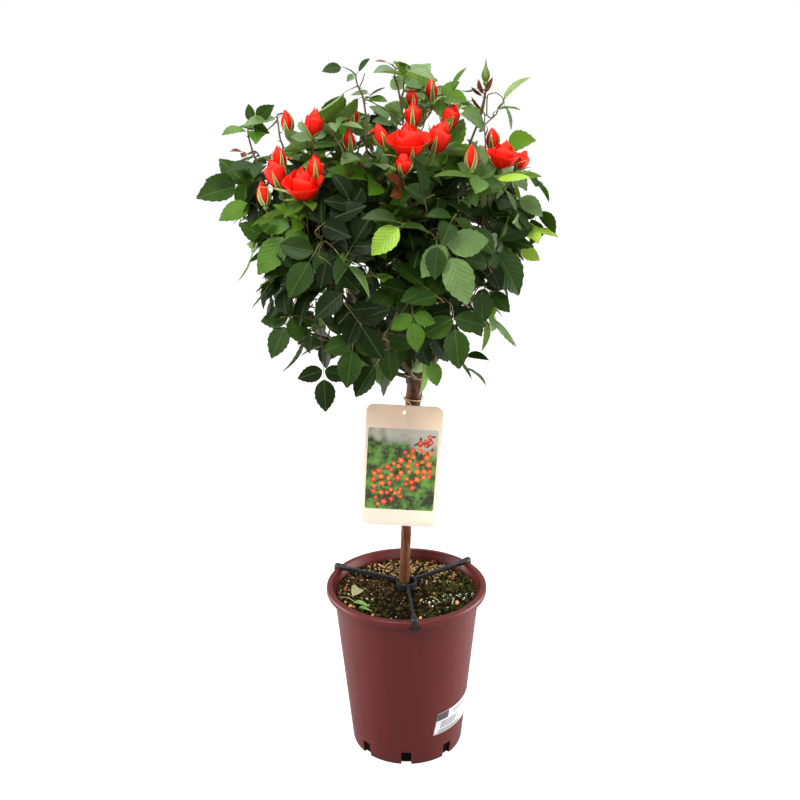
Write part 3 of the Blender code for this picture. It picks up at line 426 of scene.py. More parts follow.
# Shoots on the far side: place of the last leaf, the way it points, and its shade
SHOOTS = (
    ((0, 40, 768), (80, 0, 20), "pale"),
    ((44, 40, 756), (50, 0, 90), "fresh"),
    ((46, 70, 484), (30, 50, -80), "dark"),
    ((-66, 84, 482), (-30, 40, -90), "dark"),
    ((70, 130, 650), (40, 80, 10), "mid"),
    ((-76, 145, 655), (-30, 90, 10), "mid"),
    ((-116, 122, 645), (-60, 70, 0), "fresh"),
    ((-116, 75, 540), (-50, 70, -50), "mid"),
    ((-156, 30, 705), (-80, 50, 20), "mid"),
    ((96, 60, 680), (70, 70, -10), "fresh"),
)

# How each mass grows
SEED = 5
ANY_TURN = 6.3
TOUCH = 0.0015
HIGH_SPRAY = 600
WOOD_STEP = 0.006
TWIG_STEP = 0.012
CELL_REACH = 0.105
SIDE_ANGLES = (56, 74)
LEAF_SIZES = (0.68, 1.06)
SAGS = (0.05, 0.28)
THREE_LEAFLETS = 0.30
# Leaves deeper in the crown than this share are nearly all dark, as painted shade in its depth
SHADED_DEPTH_SHARE = 0.60
LOW_SHADES_END = 0.575
HIGH_SHADES_START = 0.690
LEADER_REACH = 0.006
TWIGS_PER_MASS = 7
LEAVES_PER_MASS = 40
DENSE_TOP = 0.685
OPEN_SHARE = 0.30
LEAFLET_LENGTH = 0.044
LEAFLET_WIDTH = 0.62
PETIOLE_LENGTH = 0.012
INTERNODE = 0.0115
TWIG_RADIUS = 0.0011
PETIOLE_RADIUS = 0.0006
THORN_RADII = (0.0009, 0.0005, 0.0001)
LEAF_REACH = 0.040
LEAF_SPACING = 0.0066
SPRAY_ROOM = 0.062
FLOWER_ROOM = 0.017
CROWN_HEART = Vector((-0.016, 0.0, 0.565))
BOX_MARGIN = 0.003
EDGE_LOW = 0.79
EDGE_HIGH = 0.94
HOLD_MARGIN = 0.0005
# Leaf shades and their shares low, in the middle and high in the crown. Besides the real mix of old and
# young leaves, more dark leaves low down paint the shade there, and more pale leaves at the top paint the
# light on it
SHADES = ("dark", "mid", "fresh", "pale", "lime", "red")
SHADES_LOW = (0.64, 0.27, 0.06, 0.03, 0.00, 0.00)
SHADES_MIDDLE = (0.54, 0.29, 0.08, 0.09, 0.00, 0.00)
SHADES_HIGH = (0.10, 0.20, 0.25, 0.42, 0.02, 0.01)

# Natural surfaces: two screen colours, roughness, specular, scale of the patches and
# of the grain, and depth of the relief
NATURAL = {
    "bark_chips": ((96, 70, 36), (204, 170, 112), 0.85, 0.06, 300.0, 1500.0, 0.0),
    "bark_crumbs": ((36, 25, 14), (90, 68, 42), 0.9, 0.06, 300.0, 1500.0, 0.0),
    "peat_lumps": ((5, 4, 2), (28, 20, 12), 0.95, 0.06, 300.0, 1500.0, 0.0),
    "perlite": ((190, 186, 170), (236, 232, 222), 0.8, 0.4, 300.0, 1500.0, 0.0),
    "moss": ((24, 31, 6), (66, 74, 22), 0.9, 0.06, 300.0, 1500.0, 0.0),
    "granule_orange": ((206, 124, 64), (226, 160, 110), 0.6, 0.4, 300.0, 1500.0, 0.0),
    "stub_red": ((112, 44, 26), (156, 84, 56), 0.7, 0.4, 300.0, 1500.0, 0.0),
    "straw_tan": ((134, 122, 72), (176, 160, 110), 0.7, 0.4, 300.0, 1500.0, 0.0),
    "blade_green": ((70, 104, 36), (110, 146, 66), 0.6, 0.4, 300.0, 1500.0, 0.0),
    "withered_green": ((118, 122, 74), (164, 160, 112), 0.75, 0.4, 200.0, 1500.0, 0.0),
    "bough_bark": ((50, 32, 18), (84, 70, 38), 0.6, 0.35, 60.0, 900.0, 0.0004),
    "string_twine": ((176, 146, 112), (222, 198, 166), 0.8, 0.4, 500.0, 2500.0, 0.0002),
    "twig_bark": ((50, 60, 24), (90, 60, 34), 0.55, 0.2, 40.0, 900.0, 0.0),
    "stalk_green": ((92, 116, 46), (122, 92, 56), 0.5, 0.4, 40.0, 900.0, 0.0),
    "sepal_green": ((74, 96, 30), (108, 128, 46), 0.5, 0.4, 90.0, 900.0, 0.0),
    "sepal_pale": ((178, 186, 112), (206, 196, 134), 0.5, 0.4, 90.0, 900.0, 0.0),
}

# Moulded, coated and printed surfaces: screen colour, roughness and specular
COATED = {
    "label_paper": ((200, 198, 200), 0.55, 0.5),
    "label_ink": ((58, 62, 64), 0.5, 0.5),
    "holder_black": ((20, 21, 23), 0.50, 0.32),
    "print_red": ((214, 44, 32), 0.4, 0.5),
    "print_orange": ((232, 96, 40), 0.4, 0.5),
    "print_green": ((52, 74, 34), 0.4, 0.5),
    "print_yellow": ((238, 176, 84), 0.4, 0.5),
}

# Leaves and petals: screen colours of the upper side, the under side and the light
# that shines through, roughness, specular, and how much light shines through
BLADES = {
    # The dark leaf is kept very dark because it also stands for painted shade in the depth of the crown
    "leaf_dark": ((11, 24, 2), (32, 46, 11), (90, 140, 20), 0.46, 0.10, 0.04),
    "leaf_mid": ((28, 50, 7), (54, 75, 23), (110, 165, 28), 0.46, 0.15, 0.08),
    "leaf_fresh": ((60, 94, 14), (92, 118, 38), (130, 180, 40), 0.46, 0.22, 0.14),
    "leaf_pale": ((86, 113, 60), (116, 138, 78), (130, 170, 50), 0.46, 0.30, 0.12),
    "leaf_lime": ((126, 160, 48), (148, 176, 76), (190, 220, 70), 0.46, 0.24, 0.16),
    "leaf_red": ((112, 52, 28), (122, 78, 44), (150, 70, 30), 0.46, 0.25, 0.12),
    "petal_bright": ((234, 28, 11), (236, 36, 18), (255, 34, 8), 0.55, 0.14, 0.20),
    "petal_deep": ((206, 20, 12), (218, 26, 16), (255, 34, 8), 0.55, 0.14, 0.16),
}

# Lamps: name, place, the point they face, size and power
LAMPS = (
    ("key", (-0.65, -1.25, 1.85), (-0.02, 0, 0.55), 0.6, 44),
    ("front", (0.55, -1.70, 0.90), (0, 0, 0.4), 0.9, 14),
    ("side_left", (-0.95, 0.10, 0.20), (0, 0, 0.15), 0.7, 17),
    ("side_right", (0.95, 0.10, 0.20), (0, 0, 0.15), 0.7, 24),
    ("top", (0.1, 0.5, 1.9), (0, 0, 0.6), 1.0, 14),
)
FLOOR_SIZE = 14.0
WHITE = (1.0, 1.0, 1.0, 1.0)
WELD_GAP = 0.00002


# Modelling by hand


def deselect():
    bpy.ops.object.select_all(action="DESELECT")


def activate(piece):
    deselect()
    piece.select_set(True)
    bpy.context.view_layer.objects.active = piece


def named(name):
    """Names the primitive that was just added, and puts its place into its mesh."""
    piece = bpy.context.active_object
    piece.name = name
    piece.data.name = name
    bpy.ops.object.transform_apply(location=True, rotation=True, scale=True)
    return piece


def modified(piece, kind, **settings):
    """Adds one modifier to a piece and applies it."""
    modifier = piece.modifiers.new(kind.lower(), kind)
    for key, value in settings.items():
        setattr(modifier, key, value)
    activate(piece)
    bpy.ops.object.modifier_apply(modifier=modifier.name)


def merged_with(piece, tool, operation):
    """Joins another solid to a piece, or cuts it out of it."""
    modified(piece, "BOOLEAN", object=tool, operation=operation, solver="EXACT")
    bpy.data.objects.remove(tool, do_unlink=True)


def bevelled(piece, width, angle):
    """Rounds the edges of a piece that are sharper than an angle in degrees."""
    limit = math.radians(angle)
    modified(piece, "BEVEL", width=width, segments=2, limit_method="ANGLE", angle_limit=limit)


def relief(piece, grain, depth, stretch=(1, 1, 1), group=""):
    """Raises and sinks a surface by a noise of one grain, stretched along the axes."""
    texture = bpy.data.textures.new("relief", "CLOUDS")
    texture.noise_scale = 1.0
    texture.noise_depth = 2
    helper = bpy.data.objects.new("relief", None)
    bpy.context.scene.collection.objects.link(helper)
    helper.scale = [grain * share for share in stretch]
    bpy.context.view_layer.update()
    modified(
        piece, "DISPLACE", texture=texture, texture_coords="OBJECT", texture_coords_object=helper,
        strength=depth, mid_level=0.5, vertex_group=group,
    )
    bpy.data.objects.remove(helper, do_unlink=True)
    bpy.data.textures.remove(texture)


def adopt(piece, nodes=()):
    """The piece rides on the plant and may stand for nodes, which are hidden."""
    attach(piece, "root")
    if nodes:
        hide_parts(*nodes)


def welded(piece, gap):
    """Welds points of a piece that lie together, and turns its faces outward."""
    activate(piece)
    bpy.ops.object.mode_set(mode="EDIT")
    bpy.ops.mesh.select_mode(type="FACE")
    bpy.ops.mesh.select_all(action="SELECT")
    bpy.ops.mesh.remove_doubles(threshold=gap)
    bpy.ops.mesh.normals_make_consistent(inside=False)
    bpy.ops.object.mode_set(mode="OBJECT")


def finished(piece, material, nodes, angle):
    """Welds a hand-made piece, shades it smooth up to an angle, and gives it its finish."""
    welded(piece, WELD_GAP)
    bpy.ops.object.shade_smooth_by_angle(angle=math.radians(angle))
    piece.data.materials.clear()
    piece.data.materials.append(material)
    adopt(piece, nodes)


def turned(name, profile, sides, ring=False):
    """A round piece: a circle extruded and scaled, ring by ring, along radii and heights."""
    deselect()
    radius, height = profile[0]
    fill = "NOTHING" if ring else "NGON"
    bpy.ops.mesh.primitive_circle_add(
        vertices=sides, radius=radius, fill_type=fill, location=(0, 0, height)
    )
    piece = named(name)
    bpy.ops.object.mode_set(mode="EDIT")
    bpy.ops.mesh.select_mode(type="EDGE" if ring else "FACE")
    bpy.ops.mesh.select_all(action="SELECT")
    for next_radius, next_height in profile[1:]:
        rise = {"value": (0, 0, next_height - height)}
        bpy.ops.mesh.extrude_region_move(TRANSFORM_OT_translate=rise)
        share = next_radius / radius
        bpy.ops.transform.resize(value=(share, share, 1), center_override=(0, 0, next_height))
        radius, height = next_radius, next_height
    bpy.ops.object.mode_set(mode="OBJECT")
    return piece


def block(name, low, high, turn):
    """A cube at its size and place, turned about the pot's axis."""
    deselect()
    middle = [(a + b) / 2 for a, b in zip(low, high)]
    size = [b - a for a, b in zip(low, high)]
    bpy.ops.mesh.primitive_cube_add(size=1, location=middle, scale=size)
    piece = named(name)
    piece.data.transform(Matrix.Rotation(turn, 4, "Z"))
    return piece


def rod(name, points, radii, level):
    """A round bar along a line of points, from a curve with a bevel."""
    deselect()
    bpy.ops.curve.primitive_nurbs_path_add()
    bar = bpy.context.active_object
    bar.name = name
    bar.data.splines.clear()
    spline = bar.data.splines.new("POLY")
    spline.points.add(len(points) - 1)
    for place, point, radius in zip(spline.points, points, radii):
        place.co = (*point, 1.0)
        place.radius = radius
    bar.data.bevel_depth = 1.0
    bar.data.bevel_resolution = level
    bar.data.use_fill_caps = True
    activate(bar)
    bpy.ops.object.convert(target="MESH")
    return bpy.context.active_object


def joined(name, pieces):
    deselect()
    for piece in pieces:
        piece.select_set(True)
    bpy.context.view_layer.objects.active = pieces[0]
    bpy.ops.object.join()
    pieces[0].name = name
    pieces[0].data.name = name
    return pieces[0]


# Materials


def feed(tree, socket, value):
    """Gives a socket a value, or links another node's output to it."""
    if isinstance(value, bpy.types.NodeSocket):
        tree.links.new(value, socket)
    else:
        socket.default_value = value


def blend(tree, share, first, second):
    """Mix of two colours by a share."""
    node = tree.nodes.new("ShaderNodeMix")
    node.data_type = "RGBA"
    for index, value in ((0, share), (6, first), (7, second)):
        feed(tree, node.inputs[index], value)
    return node.outputs[2]


def spread(tree, value, low, high, to_low=0.0, to_high=1.0):
    """A value's range stretched to another, held at its ends."""
    node = tree.nodes.new("ShaderNodeMapRange")
    for index, given in enumerate((value, low, high, to_low, to_high)):
        feed(tree, node.inputs[index], given)
    return node.outputs[0]


def math_of(tree, operation, first, second=0.0):
    node = tree.nodes.new("ShaderNodeMath")
    node.operation = operation
    feed(tree, node.inputs[0], first)
    feed(tree, node.inputs[1], second)
    return node.outputs[0]


def noise(tree, place, scale, detail=2.0):
    node = tree.nodes.new("ShaderNodeTexNoise")
    for name, value in (("Vector", place), ("Scale", scale), ("Detail", detail)):
        feed(tree, node.inputs[name], value)
    return node.outputs["Fac"]


def new_group(name, inputs, outputs):
    """An empty node group with named sockets. Returns the group, its inputs and its output node."""
    group = bpy.data.node_groups.new(name, "ShaderNodeTree")
    for label, kind, value in inputs:
        socket = group.interface.new_socket(label, in_out="INPUT", socket_type="NodeSocket" + kind)
        if value is not None:
            socket.default_value = value
    for label, kind in outputs:
        group.interface.new_socket(label, in_out="OUTPUT", socket_type="NodeSocket" + kind)
    return group, group.nodes.new("NodeGroupInput").outputs, group.nodes.new("NodeGroupOutput")


def make_mottle():
    """Two colours in soft patches with a finer grain in them, and the patches as a height."""
    group, given, result = new_group(
        "mottle",
        (
            ("Vector", "Vector", None),
            ("Patch", "Float", 40.0),
            ("Grain", "Float", 400.0),
            ("Grain Share", "Float", 0.3),
            ("Contrast", "Float", 0.25),
            ("First", "Color", (0.1, 0.1, 0.1, 1)),
            ("Second", "Color", (0.2, 0.2, 0.2, 1)),
        ),
        (("Color", "Color"), ("Height", "Float")),
    )
    patches = noise(group, given["Vector"], given["Patch"], 3.0)
    grain = noise(group, given["Vector"], given["Grain"])
    fine = math_of(group, "MULTIPLY", grain, given["Grain Share"])
    rest = math_of(group, "SUBTRACT", 1.0, given["Grain Share"])
    height = math_of(group, "ADD", fine, math_of(group, "MULTIPLY", patches, rest))
    centred = math_of(group, "SUBTRACT", height, 0.5)
    share = math_of(group, "ADD", math_of(group, "DIVIDE", centred, given["Contrast"]), 0.5)
    clamp = group.nodes.new("ShaderNodeClamp")
    feed(group, clamp.inputs[0], share)
    colour = blend(group, clamp.outputs[0], given["First"], given["Second"])
    feed(group, result.inputs["Color"], colour)
    feed(group, result.inputs["Height"], height)
    return group


def make_specks():
    """Small round spots of a colour over another, as many as a share asks for."""
    group, given, result = new_group(
        "specks",
        (
            ("Vector", "Vector", None),
            ("Scale", "Float", 600.0),
            ("Share", "Float", 0.2),
            ("Ground", "Color", (0.1, 0.1, 0.1, 1)),
            ("Speck", "Color", (0.5, 0.5, 0.5, 1)),
        ),
        (("Color", "Color"), ("Mask", "Float")),
    )
    cells = group.nodes.new("ShaderNodeTexVoronoi")
    feed(group, cells.inputs["Vector"], given["Vector"])
    feed(group, cells.inputs["Scale"], given["Scale"])
    split = group.nodes.new("ShaderNodeSeparateColor")
    feed(group, split.inputs[0], cells.outputs["Color"])
    chosen = math_of(group, "LESS_THAN", split.outputs[0], given["Share"])
    round_spot = math_of(group, "LESS_THAN", cells.outputs["Distance"], 0.42)
    mask = math_of(group, "MULTIPLY", chosen, round_spot)
    feed(group, result.inputs["Color"], blend(group, mask, given["Ground"], given["Speck"]))
    feed(group, result.inputs["Mask"], mask)
    return group


MOTTLE = make_mottle()
SPECKS = make_specks()


def new_material(name, roughness, specular):
    """A material. Returns it with its tree, its shader and its object coordinates."""
    material = bpy.data.materials.new(name)
    material.use_nodes = True
    tree = material.node_tree
    shader = tree.nodes["Principled BSDF"]
    shader.inputs["Roughness"].default_value = roughness
    shader.inputs["Specular IOR Level"].default_value = specular
    place = tree.nodes.new("ShaderNodeTexCoord").outputs["Object"]
    return material, tree, shader, place


def use_group(tree, group, **values):
    """Places a group. Names of its sockets are given with underscores for spaces."""
    node = tree.nodes.new("ShaderNodeGroup")
    node.node_tree = group
    for key, value in values.items():
        feed(tree, node.inputs[key.replace("_", " ")], value)
    return node.outputs


def mottled(tree, place, patch, grain, share, contrast, colours):
    """Colour and height of two mottled colours."""
    skin = use_group(
        tree, MOTTLE, Vector=place, Patch=patch, Grain=grain, Grain_Share=share,
        Contrast=contrast, First=colours[0], Second=colours[1],
    )
    return skin["Color"], skin["Height"]


def stretched(tree, place, scale):
    """Coordinates that are scaled along the height, so that a pattern is drawn out."""
    node = tree.nodes.new("ShaderNodeMapping")
    feed(tree, node.inputs["Vector"], place)
    node.inputs["Scale"].default_value = (1.0, 1.0, scale)
    return node.outputs[0]


def bump(tree, shader, height, distance, strength=1.0):
    node = tree.nodes.new("ShaderNodeBump")
    for name, value in (("Strength", strength), ("Distance", distance), ("Height", height)):
        feed(tree, node.inputs[name], value)
    feed(tree, shader.inputs["Normal"], node.outputs["Normal"])


def axis_of(tree, place, axis):
    node = tree.nodes.new("ShaderNodeSeparateXYZ")
    feed(tree, node.inputs[0], place)
    return node.outputs[axis]


def rgb(red, green, blue):
    """A colour as it looks on a screen, from 0 to 255, in linear light."""
    linear = []
    for part in (red, green, blue):
        share = part / 255
        linear.append(share / 12.92 if share <= 0.04045 else ((share + 0.055) / 1.055) ** 2.4)
    return (*linear, 1.0)


def tinted(colour, share):
    """A colour made darker or lighter by a share."""
    return [min(1.0, part * share) for part in colour[:3]] + [1.0]


def pot_material():
    """Recycled plastic with faint vertical flow lines, and a painted shadow along its foot where it
    stands.
    """
    material, tree, shader, place = new_material("pot_plastic", 0.40, 0.24)
    flow = stretched(tree, place, 0.08)
    colours = (rgb(72, 19, 17), rgb(84, 25, 22))
    body, flow_lines = mottled(tree, flow, 60.0, 520.0, 0.35, 0.6, colours)
    # Painted shadow: the plastic turns near black over its lowest few millimetres, where the pot meets
    # the floor.
    foot = spread(tree, axis_of(tree, place, "Z"), 0.0003, 0.0026, 0.9, 0.0)
    body_with_foot_shadow = blend(tree, foot, body, rgb(20, 13, 10))
    specks = use_group(
        tree, SPECKS, Vector=place, Scale=170.0, Share=0.012, Ground=body_with_foot_shadow, Speck=rgb(52, 26, 22)
    )
    feed(tree, shader.inputs["Base Color"], specks["Color"])
    feed(tree, shader.inputs["Roughness"], spread(tree, flow_lines, 0.3, 0.7, 0.36, 0.5))
    bump(tree, shader, flow_lines, 0.0002, 0.35)
    return material


def soil_material():
    """Dark peat with paler fibre, greener on the right where moss has started, and painted near black
    below its top as the shade inside the pot.
    """
    material, tree, shader, place = new_material("soil_mix", 0.92, 0.05)
    peat, crumbs = mottled(tree, place, 110.0, 900.0, 0.5, 0.22, (rgb(6, 5, 3), rgb(34, 26, 14)))
    side = spread(tree, axis_of(tree, place, "X"), -0.02, 0.05, -0.25, 0.12)
    moss = spread(tree, math_of(tree, "ADD", noise(tree, place, 34.0), side), 0.46, 0.6)
    mossy = blend(tree, math_of(tree, "MULTIPLY", moss, 0.75), peat, rgb(42, 44, 15))
    specks = use_group(
        tree, SPECKS, Vector=place, Scale=420.0, Share=0.22, Ground=mossy, Speck=rgb(78, 58, 33)
    )
    # Painted shade: below its top the soil turns near black, as the dark inside the pot that shows
    # through the slots.
    top = spread(tree, axis_of(tree, place, "Z"), 0.15, 0.19)
    feed(tree, shader.inputs["Base Color"], blend(tree, top, rgb(7, 6, 4), specks["Color"]))
    bump(tree, shader, crumbs, 0.0016, 0.9)
    return material


def bark_material():
    """Tan bark with red-brown streaks that darkens to the graft head."""
    material, tree, shader, place = new_material("stem_bark", 0.66, 0.18)
    drawn = stretched(tree, place, 0.12)
    streaks, ridges = mottled(tree, drawn, 330.0, 1500.0, 0.35, 0.30, (rgb(44, 18, 7), rgb(98, 55, 25)))
    head, _ = mottled(tree, place, 90.0, 700.0, 0.3, 0.25, (rgb(34, 22, 13), rgb(84, 48, 27)))
    height = spread(tree, axis_of(tree, place, "Z"), 0.405, 0.452)
    feed(tree, shader.inputs["Base Color"], blend(tree, height, streaks, head))
    bump(tree, shader, ridges, 0.0005, 0.8)
    return material


def card_material():
    """Coated card, tan at its top and paler to its foot."""
    material, tree, shader, place = new_material("tag_card", 0.38, 0.4)
    tan, grain = mottled(tree, place, 30.0, 900.0, 0.5, 0.9, (rgb(207, 179, 151), rgb(214, 188, 163)))
    share = spread(tree, axis_of(tree, place, "Z"), 0.290, 0.430, 1.0, 0.0)
    feed(tree, shader.inputs["Base Color"], blend(tree, share, tan, rgb(219, 210, 192)))
    bump(tree, shader, grain, 0.00005, 0.3)
    return material


def print_material():
    """Soft printed field that runs from grey at its top to mixed greens at its foot."""
    material, tree, shader, place = new_material("tag_print_field", 0.34, 0.45)
    green, _ = mottled(tree, place, 70.0, 190.0, 0.35, 0.16, (rgb(34, 44, 22), rgb(92, 132, 52)))
    wobble = math_of(tree, "MULTIPLY", noise(tree, place, 45.0), 0.05)
    slant = math_of(tree, "MULTIPLY", axis_of(tree, place, "X"), 0.30)
    level = math_of(tree, "ADD", math_of(tree, "ADD", axis_of(tree, place, "Z"), wobble), slant)
    sky = spread(tree, level, 0.408, 0.424)
    feed(tree, shader.inputs["Base Color"], blend(tree, sky, green, rgb(170, 164, 154)))
    return material


def natural_material(name):
    """A natural surface in two mottled colours, with a relief where it has a depth."""
    first, second, roughness, specular, patch, grain, depth = NATURAL[name]
    material, tree, shader, place = new_material(name, roughness, specular)
    colour, height = mottled(tree, place, patch, grain, 0.35, 0.35, (rgb(*first), rgb(*second)))
    feed(tree, shader.inputs["Base Color"], colour)
    if depth:
        bump(tree, shader, height, depth)
    return material


def coated_material(name):
    """A moulded or coated surface of one colour, slightly uneven in tone and relief."""
    screen, roughness, specular = COATED[name]
    material, tree, shader, place = new_material(name, roughness, specular)
    colours = (tinted(rgb(*screen), 0.82), rgb(*screen))
    colour, height = mottled(tree, place, 120.0, 900.0, 0.5, 0.8, colours)
    feed(tree, shader.inputs["Base Color"], colour)
    bump(tree, shader, height, 0.00006, 0.4)
    return material


def leaf_skin(tree, shader, colour, upper):
    """A leaf's colour with its pale midrib and dark side veins, which stand in relief."""
    midrib, veins = vein_masks(tree)
    pale = [part * 0.7 + shift for part, shift in zip(upper[:3], (0.06, 0.09, 0.03))] + [1.0]
    ribbed = blend(tree, math_of(tree, "MULTIPLY", midrib, 0.5), colour, pale)
    bump(tree, shader, math_of(tree, "MAXIMUM", midrib, veins), -0.0004, 0.7)
    return blend(tree, math_of(tree, "MULTIPLY", veins, 0.4), ribbed, tinted(upper, 0.45))


def petal_skin(tree, shader, colour, upper):
    """A petal's colour, with painted shade deep at its foot and a painted highlight at its edge, and fine
    lines along it.
    """
    uv = tree.nodes.new("ShaderNodeUVMap").outputs["UV"]
    lines = math_of(tree, "SINE", math_of(tree, "MULTIPLY", axis_of(tree, uv, "X"), 70.0))
    along = axis_of(tree, uv, "Y")
    bump(tree, shader, lines, 0.00008, 0.5)
    # Painted shade: the petal darkens towards its foot, deep inside the flower
    petal_with_foot_shade = blend(tree, spread(tree, along, 0.0, 0.75, 0.80, 0.0), colour, tinted(upper, 0.45))
    # Painted highlight: a paler, pinker edge where the petals catch the light
    return blend(tree, spread(tree, along, 0.78, 1.0, 0.0, 0.42), petal_with_foot_shade, rgb(255, 96, 78))


def thin_material(name):
    """A leaf or petal: two sides in their own colours, and light that shines through."""
    upper, under, glow, roughness, specular, glow_share = BLADES[name]
    upper = rgb(*upper)
    material, tree, shader, place = new_material(name, roughness, specular)
    colours = (tinted(upper, 0.66), tinted(upper, 1.28))
    colour, _ = mottled(tree, place, 55.0, 420.0, 0.25, 0.34, colours)
    skin = leaf_skin if name.startswith("leaf") else petal_skin
    colour = skin(tree, shader, colour, upper)
    facing = tree.nodes.new("ShaderNodeNewGeometry").outputs["Backfacing"]
    feed(tree, shader.inputs["Base Color"], blend(tree, facing, colour, rgb(*under)))
    through = tree.nodes.new("ShaderNodeBsdfTranslucent")
    through.inputs["Color"].default_value = rgb(*glow)
    mix = tree.nodes.new("ShaderNodeMixShader")
    for index, value in enumerate((glow_share, shader.outputs[0], through.outputs[0])):
        feed(tree, mix.inputs[index], value)
    feed(tree, tree.nodes["Material Output"].inputs["Surface"], mix.outputs[0])
    return material


def vein_masks(tree):
    """Midrib and slanting side veins of a blade, from its own map."""
    uv = tree.nodes.new("ShaderNodeUVMap").outputs["UV"]
    off = math_of(tree, "ABSOLUTE", math_of(tree, "SUBTRACT", axis_of(tree, uv, "X"), 0.5))
    midrib = spread(tree, off, 0.012, 0.035, 1.0, 0.0)
    curved = math_of(tree, "MULTIPLY", math_of(tree, "POWER", off, 0.8), 0.62)
    slanted = math_of(tree, "SUBTRACT", axis_of(tree, uv, "Y"), curved)
    wave = math_of(tree, "SINE", math_of(tree, "MULTIPLY", slanted, 50.0))
    return midrib, spread(tree, wave, 0.55, 1.0)


# Camera, lights and stage


def placed(name, data):
    """Puts a camera or a lamp into the scene."""
    holder = bpy.data.objects.new(name, data)
    bpy.context.scene.collection.objects.link(holder)
    return holder


def make_camera():
    camera = bpy.data.cameras.new("photo_view")
    camera.lens = CAMERA_LENS
    camera.sensor_width = CAMERA_SENSOR
    viewer = placed("photo_view", camera)
    tilt = Matrix.Rotation(math.pi / 2 - CAMERA_PITCH, 4, "X")
    viewer.matrix_world = Matrix.Translation(CAMERA_PLACE) @ tilt @ Matrix.Rotation(CAMERA_ROLL, 4, "Z")
    bpy.context.scene.camera = viewer


def make_lamps():
    for name, place, aim, size, power in LAMPS:
        lamp = bpy.data.lights.new(name, "AREA")
        lamp.shape = "DISK"
        lamp.size = size
        lamp.energy = power
        holder = placed(name, lamp)
        holder.location = place
        holder.rotation_euler = (Vector(aim) - Vector(place)).to_track_quat("-Z", "Y").to_euler()


def make_room():
    """White room that is dimmer behind the camera."""
    world = bpy.data.worlds.new("white_room")
    bpy.context.scene.world = world
    world.use_nodes = True
    tree = world.node_tree
    background = tree.nodes["Background"]
    direction = tree.nodes.new("ShaderNodeTexCoord").outputs["Generated"]
    front = spread(tree, axis_of(tree, direction, "Y"), -0.9, 0.3, 0.05, 0.54)
    above = spread(tree, axis_of(tree, direction, "Z"), 0.25, 0.9, 0.0, 0.8)
    seen = tree.nodes.new("ShaderNodeLightPath").outputs["Is Camera Ray"]
    hidden = math_of(tree, "SUBTRACT", 1.0, seen)
    room = math_of(tree, "MULTIPLY", math_of(tree, "ADD", front, above), hidden)
    feed(tree, background.inputs["Strength"], math_of(tree, "ADD", room, seen))
    background.inputs["Color"].default_value = WHITE


def make_floor():
    deselect()
    bpy.ops.mesh.primitive_plane_add(size=FLOOR_SIZE, location=(0, 0, 0))
    floor = named("studio_floor")
    material, tree, shader, _ = new_material("white_floor", 0.9, 0.1)
    shader.inputs["Base Color"].default_value = (0.35, 0.35, 0.35, 1.0)
    seen = tree.nodes.new("ShaderNodeLightPath").outputs["Is Camera Ray"]
    feed(tree, shader.inputs["Emission Strength"], math_of(tree, "MULTIPLY", seen, 0.75))
    shader.inputs["Emission Color"].default_value = WHITE
    floor.data.materials.append(material)


def make_studio():
    """White room, soft lamps and a white floor."""
    make_room()
    make_lamps()
    make_floor()
    settings = bpy.context.scene.view_settings
    settings.view_transform = "Standard"
    settings.look = "None"
    settings.exposure = 0.0


# Pot


def pot_radius(height):
    """Outer radius of the pot's straight wall at a height."""
    return FOOT_RADIUS + (NECK_RADIUS - FOOT_RADIUS) * height / (POT_HEIGHT - RIM_DROP)


def arc(centre, radius, start, end, steps):
    """Points of an arc in the plane of radius and height."""
    points = []
    for k in range(steps + 1):
        angle = math.radians(start + (end - start) * k / steps)
        points.append((centre[0] + radius * math.cos(angle), centre[1] + radius * math.sin(angle)))
    return points


def make_pot():
    """Tapered shell with a chamfered foot, a shoulder and a lip that rolls out and down."""
    neck = POT_HEIGHT - RIM_DROP
    crest = RIM_RADIUS - POT_LIP
    skirt = RIM_RADIUS - POT_WALL
    inside = pot_radius(neck) - POT_WALL
    mouth = pot_radius(neck) + RIM_SHOULDER
    profile = [(FOOT_RADIUS - 0.0022, 0.0), (FOOT_RADIUS - 0.0004, 0.0003), (pot_radius(0.0022), 0.0022)]
    profile += [(pot_radius(neck * k / 6), neck * k / 6) for k in range(1, 6)]
    profile += [(pot_radius(neck), neck - 0.0010), (pot_radius(neck) + 0.0010, neck + 0.0010)]
    profile += [(mouth + POT_WALL * 0.7, POT_HEIGHT - 0.0040), (crest - 0.0012, POT_HEIGHT - 0.0028)]
    profile += [(skirt, POT_HEIGHT - 0.0036), (skirt, neck)]
    profile += arc((RIM_RADIUS - POT_WALL / 2, neck), POT_WALL / 2, 200, 340, 4)
    profile += [(RIM_RADIUS, POT_HEIGHT - 0.0045)]
    profile += arc((crest, POT_HEIGHT - POT_LIP), POT_LIP, 10, 90, 6)
    profile += arc((mouth + POT_EDGE, POT_HEIGHT - POT_EDGE), POT_EDGE, 90, 180, 4)
    profile += [(mouth - 0.0008, POT_HEIGHT - 0.0032), (inside, neck), (inside - 0.0010, neck - 0.0030)]
    profile += [(pot_radius(0.004) - POT_WALL, 0.0040), (pot_radius(0.003) - POT_WALL - 0.001, 0.0022)]
    pot = turned("flower_pot", profile, POT_SIDES)
    cutters = []
    for k in range(SLOT_COUNT):
        angle = SLOT_TURN - math.pi / 2 + 2 * math.pi * k / SLOT_COUNT
        low = (SLOT_REACH[0], -SLOT_WIDTH / 2, -0.010)
        cutters.append(block("slot", low, (SLOT_REACH[1], SLOT_WIDTH / 2, SLOT_HEIGHT), angle))
    merged_with(pot, joined("slots", cutters), "DIFFERENCE")
    finished(pot, pot_material(), ["pot"], 34)


